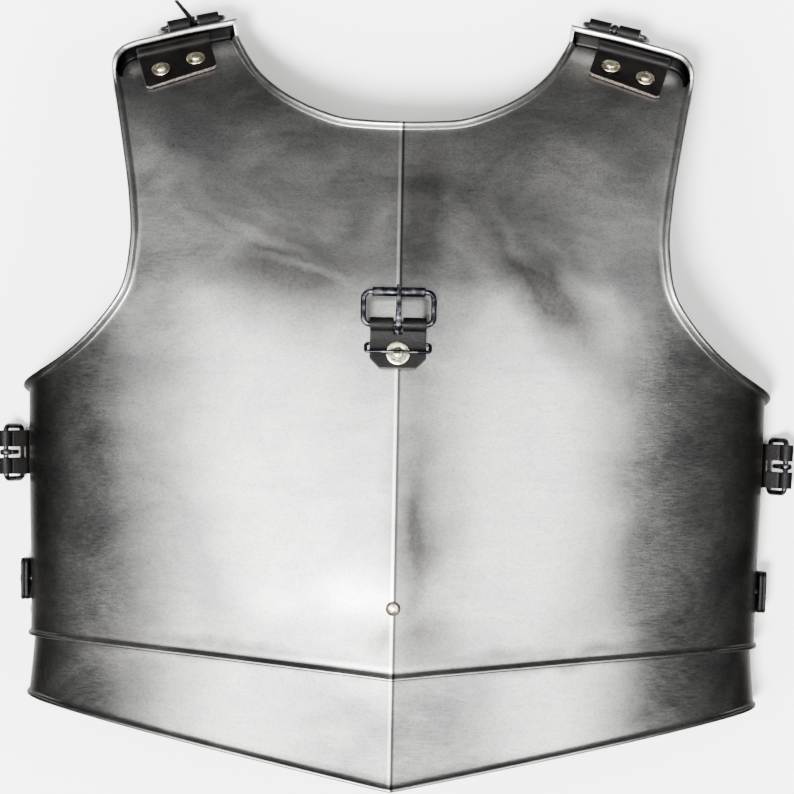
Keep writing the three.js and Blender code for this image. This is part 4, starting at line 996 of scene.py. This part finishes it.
def makeProng(depth, topRadius, skew, behind):
    # Eye round the bar, then a tongue that tapers and rests over the far bar.
    wire, thick = hardware["wire"], prong["thickness"]
    seat = topRadius + seatGap + wire * 0.1 + thick / 2
    reach = depth + topRadius + prong["pastBar"]
    eye = wire + hardware["barClearance"] + thick * 0.4
    path = [Vector((eye * math.cos(math.radians(a)), eye * math.sin(math.radians(a))))
            for a in range(300, 59, -12)]
    path = [Vector((eye * 1.05, -eye * 0.55)), *path[1:]]
    tongue = [Vector((eye * 1.15, eye * 0.95)), Vector((depth * 0.35, seat * 0.95)),
              Vector((depth * 0.6, seat * 0.93)), Vector((depth - topRadius * 0.6, seat)),
              Vector((depth + topRadius * 0.5, seat + 0.05)), Vector((reach - 0.5, seat)),
              Vector((reach + prong["tipEnd"], seat))]
    path = path[:-3] + [splinePoint([path[-3], *tongue], i / 24) for i in range(25)]
    bm = bmesh.new()
    ring = bmesh.ops.create_circle(bm, segments=16, radius=1)["verts"]
    shape = [Vector((v.co.x, v.co.y)) for v in ring]
    edges = list({e for v in ring for e in v.link_edges})
    firstCap = ring
    last = len(path) - 1
    for i, spot in enumerate(path):
        along = (path[min(i + 1, last)] - path[max(i - 1, 0)]).normalized()
        off = Vector((-along.y, along.x))
        run = max(spot.x - eye, 0)
        taper = 1 - prong["taper"] * run / reach
        tip = prong["tip"] if i == last else 1
        if i > 0:
            ring, _ = drawOn(bm, ring, edges)
            edges = [bm.edges.get((a, b)) for a, b in zip(ring, ring[1:] + ring[:1])]
        for vert, s in zip(ring, shape):
            side = s.x * prong["width"] / 2 * taper * tip
            flat = off * s.y * thick * prong["flat"] * taper * tip
            vert.co = (side + skew * run, spot.x + flat.x, spot.y + flat.y)
    bm.faces.new(firstCap)
    bm.faces.new(ring)
    if behind:
        bmesh.ops.rotate(bm, cent=(0, 0, 0), matrix=Matrix.Rotation(math.pi, 3, "Y"), verts=bm.verts)
    bmesh.ops.recalc_face_normals(bm, faces=bm.faces)
    return bm


def makeBuckle(prefix, site, size):
    wire = hardware["wire"]
    place = site @ turnX(size["frameAngle"])
    bm = wireLoop(size["width"] - 2 * wire, size["depth"], size["corner"], wire)
    bmesh.ops.transform(bm, matrix=place, verts=bm.verts)
    finishPiece(bm, prefix + "_buckle_wire", [buckleSteel], prefix + "_frame", [prefix + "_buckle"])
    top = hardware["roller"] if size.get("roller") else wire
    bm = makeProng(size["depth"], top, size.get("skew", 0), size.get("behind", False))
    bmesh.ops.transform(bm, matrix=place @ turnX(size["prongAngle"]), verts=bm.verts)
    finishPiece(bm, prefix + "_prong_smooth", [buckleSteel], prefix + "_tongue", [prefix + "_prong"])
    if size.get("roller"):
        long = size["width"] - 2 * wire - 2 * size["corner"] - 2 * seatGap - 1
        hole, out = wire + hardware["barClearance"], hardware["roller"]
        half, edge, end = long / 2, hardware["rollerEdge"], hardware["rollerEnd"]
        profile = [(hole, -half), (out - edge, -half), (out, -half + end), (out, half - end),
                   (out - edge, half), (hole, half), (hole, -half)]
        bm = spun(profile, 40)
        along = Matrix.Rotation(math.pi / 2, 4, "Y")
        bmesh.ops.transform(bm, matrix=place @ shift(0, size["depth"], 0) @ along, verts=bm.verts)
        finishPiece(bm, prefix + "_roller_smooth", [buckleSteel], prefix + "_barrel", [prefix + "_roller"])


# Leather

strap = {"bendEasing": 8, "across": 24, "rows": 96, "waveAcross": 9, "waveAlong": 7, "waveHeight": 0.1}


def offsetPath(path, distance):
    last = len(path) - 1
    found = []
    for i, spot in enumerate(path):
        run = (path[min(i + 1, last)] - path[max(i - 1, 0)]).normalized()
        found.append(spot + Vector((-run.y, run.x)) * distance)
    return found


def eased(path):
    # The same path with its tight bends opened, so that a thick layer doesn't fold into itself.
    for _ in range(strap["bendEasing"]):
        path = [path[0], *[(a + b * 2 + c) / 4 for a, b, c in zip(path, path[1:], path[2:])], path[-1]]
    return path


def evenly(path, count):
    # Points at equal steps along a path.
    lengths = [0]
    for a, b in zip(path, path[1:]):
        lengths.append(lengths[-1] + (b - a).length)
    found, index = [], 0
    for i in range(count):
        want = lengths[-1] * i / (count - 1)
        while index < len(path) - 2 and lengths[index + 1] < want:
            index += 1
        span = max(lengths[index + 1] - lengths[index], 1e-9)
        found.append(path[index].lerp(path[index + 1], (want - lengths[index]) / span))
    return found, lengths[-1]


def addThickness(piece, thickness):
    # Gives a leather sheet its wall, with the cut edge as its own finish, and softens the corners.
    wall = piece.modifiers.new("wall", "SOLIDIFY")
    wall.thickness = thickness * mm
    wall.offset = 0
    wall.material_offset_rim = 1
    corners = piece.modifiers.new("corners", "BEVEL")
    corners.width = hardware["cornerSoftness"] * mm
    corners.segments = 2
    corners.limit_method = "ANGLE"
    corners.angle_limit = math.radians(50)


def makeFoldedStrap(name, site, path, width, slotLength, chamfer=0):
    # One strip of leather: along one layer, round the bar at the local origin and back along the other.
    half, rows = leather / 2, strap["rows"]
    dense = [splinePoint([Vector(p) for p in path], i / 30) for i in range(31)]
    eye = hardware["wire"] + hardware["barClearance"] + half
    facing = math.atan2(dense[-1].y, dense[-1].x)
    spread = math.asin(half / eye)
    arc = []
    for i in range(25):
        turn = lerp(facing - spread, facing + spread - 2 * math.pi, i / 24)
        arc.append(Vector((eye * math.cos(turn), eye * math.sin(turn))))
    layers = [eased(offsetPath(dense, half)), eased(offsetPath(dense, -half))]
    strip, long = evenly([*layers[0], *arc, *reversed(layers[1])], rows + 1)
    bm = bmesh.new()
    grid = gridRows(bm, strap["across"], rows)
    for r, row in enumerate(grid):
        fromTail = min(r, rows - r) / rows * long
        halfWidth = width / 2 - max(0, chamfer - fromTail)
        for c, vert in enumerate(row):
            x = lerp(-halfWidth, halfWidth, c / (len(row) - 1))
            ripple = Vector((x / strap["waveAcross"], fromTail / strap["waveAlong"], seedOf(name, 11)))
            vert.co = (x, strip[r].x, strip[r].y + noise.noise(ripple) * strap["waveHeight"])
    slotReach = (math.pi - spread) * eye + slotLength + hardware["slotEase"] - eye
    gone = []
    for r, (low, high) in enumerate(zip(grid, grid[1:])):
        away = abs((r + 0.5) / rows - 0.5) * long
        for a, b, c in zip(low, low[1:], high):
            if abs(a.co.x + b.co.x) / 2 < hardware["slotWidth"] / 2 and away < slotReach:
                gone.append(next(f for f in a.link_faces if b in f.verts and c in f.verts))
    bmesh.ops.delete(bm, geom=gone, context="FACES")
    bmesh.ops.transform(bm, matrix=site, verts=bm.verts)
    piece = finishPiece(bm, name + "_leather", leatherFinish, "armour", [name], 60)
    addThickness(piece, leather * 0.94)


# Chest buckle


def makeChestBuckle():
    settle = lift - chestBarHeight
    eyeRadius = hardware["wire"] + hardware["barClearance"] + leather
    path = [(-chest["strapLength"], settle), (-chest["keeperDistance"], settle), (-eyeRadius, settle * 0.5)]
    makeFoldedStrap("chest_strap", chestSite, path, chest["strapWidth"], hardware["slotLength"],
                    chest["chamfer"])
    makeBuckle("chest", chestSite, {
        "width": chest["frameWidth"], "depth": chest["frameDepth"], "corner": chest["corner"],
        "frameAngle": 0, "prongAngle": 0, "roller": True,
    })
    makeWasher("chest_washer", chestSeat @ shift(0, 0, foldTop), chest["washerRadius"])
    makeRivet("chest_rivet", chestSeat, strapRivet, headOnFold, -plate["thickness"] - seatGap - ridgeDrop)
    far = Vector((-(chest["rivetDistance"] - chest["keeperDistance"]),
                  headOnFold + strapRivet["rise"] + seatGap + chest["keeperWire"] - lift))
    bm = wireLoop(chest["keeperWidth"], far.length, chest["keeperCorner"], chest["keeperWire"], 14, 5)
    turn = turnX(math.degrees(math.atan2(far.y, far.x)))
    place = chestSite @ shift(0, -chest["keeperDistance"], settle) @ turn
    bmesh.ops.transform(bm, matrix=place, verts=bm.verts)
    finishPiece(bm, "chest_keeper_wire", [buckleSteel], "armour", ["chest_keeper"])


makeChestBuckle()
print("chest buckle made")

# Shoulders

shoulder = {
    "tabWidth": 42, "tabCentre": 126.4, "tabDrop": 25, "tabLean": 19, "tabBend": 3, "rivetSpacing": 20.6,
    "rivetDistance": 7.6, "strapWidth": 30, "strapCentre": 118.5, "strapTail": 15, "underGap": 1.7,
    "frameWidth": 39, "frameDepth": 19, "barHeight": 9.5, "barBehind": 10, "frameAngle": -44,
    "leftProngAngle": 134, "leftProngSkew": 0.5, "strapPull": 0.68, "strapDip": 2.6, "strapRise": 1.5,
    "strapLean": 0.6, "corner": 3.4, "onPlate": 0.6, "onBend": 0.8, "cornerTrim": 2.2,
}


def shoulderBend(side, x, inward=2, outward=2):
    # Point of the shoulder's bend line with its directions over the back and off the plate.
    outerX = lerp(plate["armHalfWidth"], plate["chestHalfWidth"], armHole[-1]["reach"])

    def heightOf(at):
        share = (at - plate["neckHalfWidth"]) / (outerX - plate["neckHalfWidth"])
        return lerp(plate["shoulderRise"], shoulderOuterRise, share)

    point, normal = seatAt(side * x, heightOf(x))
    inner = seatAt(side * (x - inward), heightOf(x - inward))[0]
    outer = seatAt(side * (x + outward), heightOf(x + outward))[0]
    out = (inner - outer).cross(normal).normalized()
    return point, normal, out if out.y > 0 else -out


def tabPoint(across, share):
    # Middle of the tab's leather on the right shoulder: over the plate, round the bend and up the flange.
    lean = math.radians(shoulder["tabLean"])
    footX = shoulder["tabCentre"] + across * math.cos(lean)
    footY = plate["shoulderRise"] - shoulder["tabDrop"] - across * math.sin(lean)
    run = 0
    for _ in range(30):
        run += shoulderBend(1, footX + run * math.sin(lean))[0].y - (footY + run * math.cos(lean))
    point, normal, out = shoulderBend(1, footX + run * math.sin(lean))
    radius = shoulder["tabBend"] + leather / 2
    centreOut = plate["flangeFront"] - seatGap - leather - shoulder["tabBend"]
    centreRise = seatGap + leather + shoulder["tabBend"]
    plateRun = run - (shoulder["tabBend"] + leather) * 0.7
    onPlate, onBend = shoulder["onPlate"], shoulder["onBend"]  # shares of the tab's length
    if share < onPlate:
        length = share / onPlate * plateRun * 0.9
        spot, away = seatAt(footX + length * math.sin(lean), footY + length * math.cos(lean))
        return spot + away * (seatGap + leather / 2)
    if share < onBend:
        turn = math.radians(lerp(8, 90, (share - onPlate) / (onBend - onPlate)))
        outward, rise = centreOut + radius * math.sin(turn), centreRise - radius * math.cos(turn)
        return point + out * outward + normal * rise
    top = plate["flangeHeight"] - 2.4 * plate["beadRadius"]
    rise = lerp(centreRise, top, (share - onBend) / (1 - onBend))
    return point + out * (centreOut + radius) + normal * rise


def markUncut(bm, verts):
    # The rim next to these points shows dyed leather instead of a cut edge.
    chosen = set(verts)
    for face in bm.faces:
        if chosen.issuperset(face.verts):
            face.material_index = 2


def makeTab(side, name):
    bm = bmesh.new()
    grid = gridRows(bm, 20, 40)
    for r, row in enumerate(grid):
        share = r / (len(grid) - 1)
        trim = max(0, 0.05 - share) / 0.05 * shoulder["cornerTrim"]
        for c, vert in enumerate(row):
            across = lerp(-1, 1, c / (len(row) - 1)) * (shoulder["tabWidth"] / 2 - trim)
            spot = tabPoint(across, share)
            vert.co = (side * spot.x, spot.y, spot.z)
    markUncut(bm, grid[-2] + grid[-1])
    inside = [v for row in grid[20:36] for v in row[1:-1]]
    for _ in range(4):
        bmesh.ops.smooth_vert(bm, verts=inside, factor=0.5, use_axis_x=True, use_axis_y=True, use_axis_z=True)
    bmesh.ops.recalc_face_normals(bm, faces=bm.faces)
    piece = finishPiece(bm, name + "_leather", leatherFinish, "armour", [name], 60)
    addThickness(piece, leather * 0.92)


def makeShoulder(side):
    prefix = "left_shoulder" if side < 0 else "right_shoulder"
    point, normal, out = shoulderBend(side, shoulder["strapCentre"], 0, shoulder["strapWidth"] / 2)
    origin = point + out * shoulder["barBehind"] + normal * shoulder["barHeight"]
    site = basis(out.cross(normal), out, normal, origin)
    under = -(plate["thickness"] + shoulder["underGap"] + leather)
    behind = plate["flangeFront"] + plate["thickness"] + 2 * seatGap + leather
    eyeRadius = hardware["wire"] + hardware["barClearance"] + leather

    def local(outward, rise):
        return outward - shoulder["barBehind"], rise - shoulder["barHeight"]

    def bowed(length):
        spot, away = seatAt(side * shoulder["strapCentre"], point.y - length * shoulder["strapPull"])
        offset = spot + away * under - point
        return local(offset.dot(out), offset.dot(normal))

    path = [bowed(shoulder["strapTail"]), bowed(shoulder["strapTail"] * 0.5),
            local(0, under - shoulder["strapDip"]), local(behind * 0.92, under * 0.85),
            local(behind, shoulder["strapRise"]),
            local(behind + shoulder["strapLean"], shoulder["barHeight"] - 0.8 * eyeRadius)]
    makeFoldedStrap(prefix + "_strap", site, path, shoulder["strapWidth"], hardware["slotLength"])
    lean = math.radians(shoulder["tabLean"])
    for index, end in enumerate(("inner", "outer")):
        across = (index - 0.5) * shoulder["rivetSpacing"]
        x = shoulder["tabCentre"] + across * math.cos(lean) + shoulder["rivetDistance"] * math.sin(lean)
        y = plate["shoulderRise"] - shoulder["tabDrop"] - across * math.sin(lean)
        y += shoulder["rivetDistance"] * math.cos(lean)
        place = frameOnPlate(side * x, y)
        washerSeat = 2 * seatGap + leather + 0.1
        headSeat = washerSeat + hardware["washerThickness"] + seatGap
        tailSeat = -(plate["thickness"] + hardware["tailGap"])
        if end == "inner":
            tailSeat -= 2 * leather + shoulder["underGap"]
        makeWasher(f"{prefix}_washer_{end}", place @ shift(0, 0, washerSeat), hardware["washer"])
        makeRivet(f"{prefix}_rivet_{end}", place, strapRivet, headSeat, tailSeat)
    makeTab(side, prefix + "_tab")
    makeBuckle(prefix, site, {
        "width": shoulder["frameWidth"], "depth": shoulder["frameDepth"], "corner": shoulder["corner"],
        "frameAngle": shoulder["frameAngle"],
        "prongAngle": shoulder["leftProngAngle"] if side < 0 else 0,
        "skew": -shoulder["leftProngSkew"] if side < 0 else 0,
    })


for side in (-1, 1):
    makeShoulder(side)
print("shoulders made")

# Sides

sides = {
    "strapDropShare": 0.24, "strapWidth": 25.5, "strapSeat": 11, "legLength": 8.5, "flapReach": 10.8,
    "flapRise": 11.5, "slotLength": 9, "washerRadius": 3.9, "legRivetRise": 0.2, "frameWidth": 34,
    "frameDepth": 17.6, "corner": 3.4, "frameAngle": -160, "tabAbove": 27, "tabWidth": 24, "tabHeight": 26,
    "tabSeat": 4, "tabGap": 0.6, "tabCorner": 2, "waveSize": 8, "waveHeight": 0.12,
}


def makeSide(side):
    prefix = "left_side" if side < 0 else "right_side"
    seat = sideFrame(side, -sides["strapDropShare"] * plate["sideLength"], sides["strapSeat"])
    barRise, barOut = sides["flapRise"], lift + sides["flapReach"]
    site = seat @ shift(0, barRise, barOut)
    path = [(rise - barRise, out - barOut) for rise, out in (
        (-sides["legLength"], lift), (barRise * 0.42, lift), (barRise * 0.62, lift + 1.6),
        (barRise * 0.84, lift + sides["flapReach"] * 0.6),
    )]
    makeFoldedStrap(prefix + "_strap", site, path, sides["strapWidth"], sides["slotLength"])
    legRivet = seat @ shift(0, sides["legRivetRise"], 0)
    tailSeat = -plate["thickness"] - hardware["tailGap"]
    makeWasher(prefix + "_strap_washer", legRivet @ shift(0, 0, foldTop), sides["washerRadius"])
    makeRivet(prefix + "_strap_rivet", legRivet, strapRivet, headOnFold, tailSeat)
    makeBuckle(prefix, site, {
        "width": sides["frameWidth"], "depth": sides["frameDepth"], "corner": sides["corner"],
        "frameAngle": sides["frameAngle"], "prongAngle": 0, "behind": True,
    })
    tabSeat = sideFrame(side, sides["tabAbove"] - plate["sideLength"],
                        sides["tabSeat"] + sides["tabHeight"] / 2)
    makeSideTab(prefix + "_tab", tabSeat)
    makeRivet(prefix + "_tab_rivet", tabSeat, strapRivet, foldTop + sides["tabGap"], tailSeat)


def makeSideTab(name, place):
    # Two layers of leather, each a flat strip with clipped corners.
    bm = bmesh.new()
    for layer in (-0.5, 0.5):
        grid = gridRows(bm, 16, 18)
        for r, row in enumerate(grid):
            y = lerp(-0.5, 0.5, r / (len(grid) - 1)) * sides["tabHeight"]
            clip = max(0, abs(y) - sides["tabHeight"] / 2 + sides["tabCorner"])
            for c, vert in enumerate(row):
                x = lerp(-1, 1, c / (len(row) - 1)) * (sides["tabWidth"] / 2 - clip)
                ripple = Vector((x / sides["waveSize"], y / sides["waveSize"], layer))
                wave = noise.noise(ripple) * sides["waveHeight"]
                vert.co = (x, y, lift + sides["tabGap"] + layer * leather + wave)
    bmesh.ops.transform(bm, matrix=place, verts=bm.verts)
    markUncut(bm, bm.verts)
    piece = finishPiece(bm, name + "_leather", leatherFinish, "armour", [name], 60)
    addThickness(piece, leather * 0.9)


for side in (-1, 1):
    makeSide(side)
print("sides made")

# Floor and light

studio = {
    "paper": "#f2f1ef", "paperHalf": 0.244, "table": "#151515", "tableHalf": 6, "tableDrop": 0.002,
    "world": "#8a8d92", "worldStrength": 0.07,
    "lamps": [
        {"name": "leftBox", "at": (-1.6, -0.5, 2.5), "turn": (0, 0, 0), "size": (1.5, 3.4), "power": 235},
        {"name": "rightBox", "at": (1.75, -0.5, 2.5), "turn": (0, 0, 0), "size": (1.3, 3.4), "power": 200},
        {"name": "leftEdge", "at": (-3.4, -0.5, 2.3), "turn": (0, -35, 0), "size": (1.8, 3), "power": 34},
        {"name": "headCard", "at": (0, 3.4, 2.2), "turn": (-57, 0, 0), "size": (6, 3), "power": 11},
    ],
    "sunTurn": (13, -10, 0), "sunPower": 14, "sunWidth": 12,
}


def addBoard(name, half, height, code):
    bm = bmesh.new()
    bmesh.ops.create_grid(bm, x_segments=1, y_segments=1, size=half)
    bmesh.ops.translate(bm, verts=bm.verts, vec=(0, 0, height))
    mesh = bpy.data.meshes.new(name)
    bm.to_mesh(mesh)
    bm.free()
    board = bpy.data.objects.new(name, mesh)
    bpy.context.collection.objects.link(board)
    settings = {"Base Color": srgb(code), "Roughness": 0.9, "Specular IOR Level": 0.1}
    mesh.materials.append(startMaterial(name, settings)[0])


def addLamp(name, kind, power, turn, at=(0, 0, 3)):
    data = bpy.data.lights.new(name, kind)
    data.energy = power
    light = bpy.data.objects.new(name, data)
    light.location = at
    light.rotation_euler = [math.radians(t) for t in turn]
    bpy.context.collection.objects.link(light)
    return data


def addLamps():
    for lamp in studio["lamps"]:
        data = addLamp(lamp["name"], "AREA", lamp["power"], lamp["turn"], lamp["at"])
        data.shape = "RECTANGLE"
        data.size, data.size_y = lamp["size"]
    sun = addLamp("overheadSun", "SUN", studio["sunPower"], studio["sunTurn"])
    sun.angle = math.radians(studio["sunWidth"])
    world = bpy.data.worlds.new("studioWorld")
    world.use_nodes = True
    background = world.node_tree.nodes["Background"]
    background.inputs["Color"].default_value = srgb(studio["world"])
    background.inputs["Strength"].default_value = studio["worldStrength"]
    bpy.context.scene.world = world


addBoard("whitePaper", studio["paperHalf"], 0, studio["paper"])
addBoard("darkTable", studio["tableHalf"], -studio["tableDrop"], studio["table"])
addLamps()
print("studio lit")
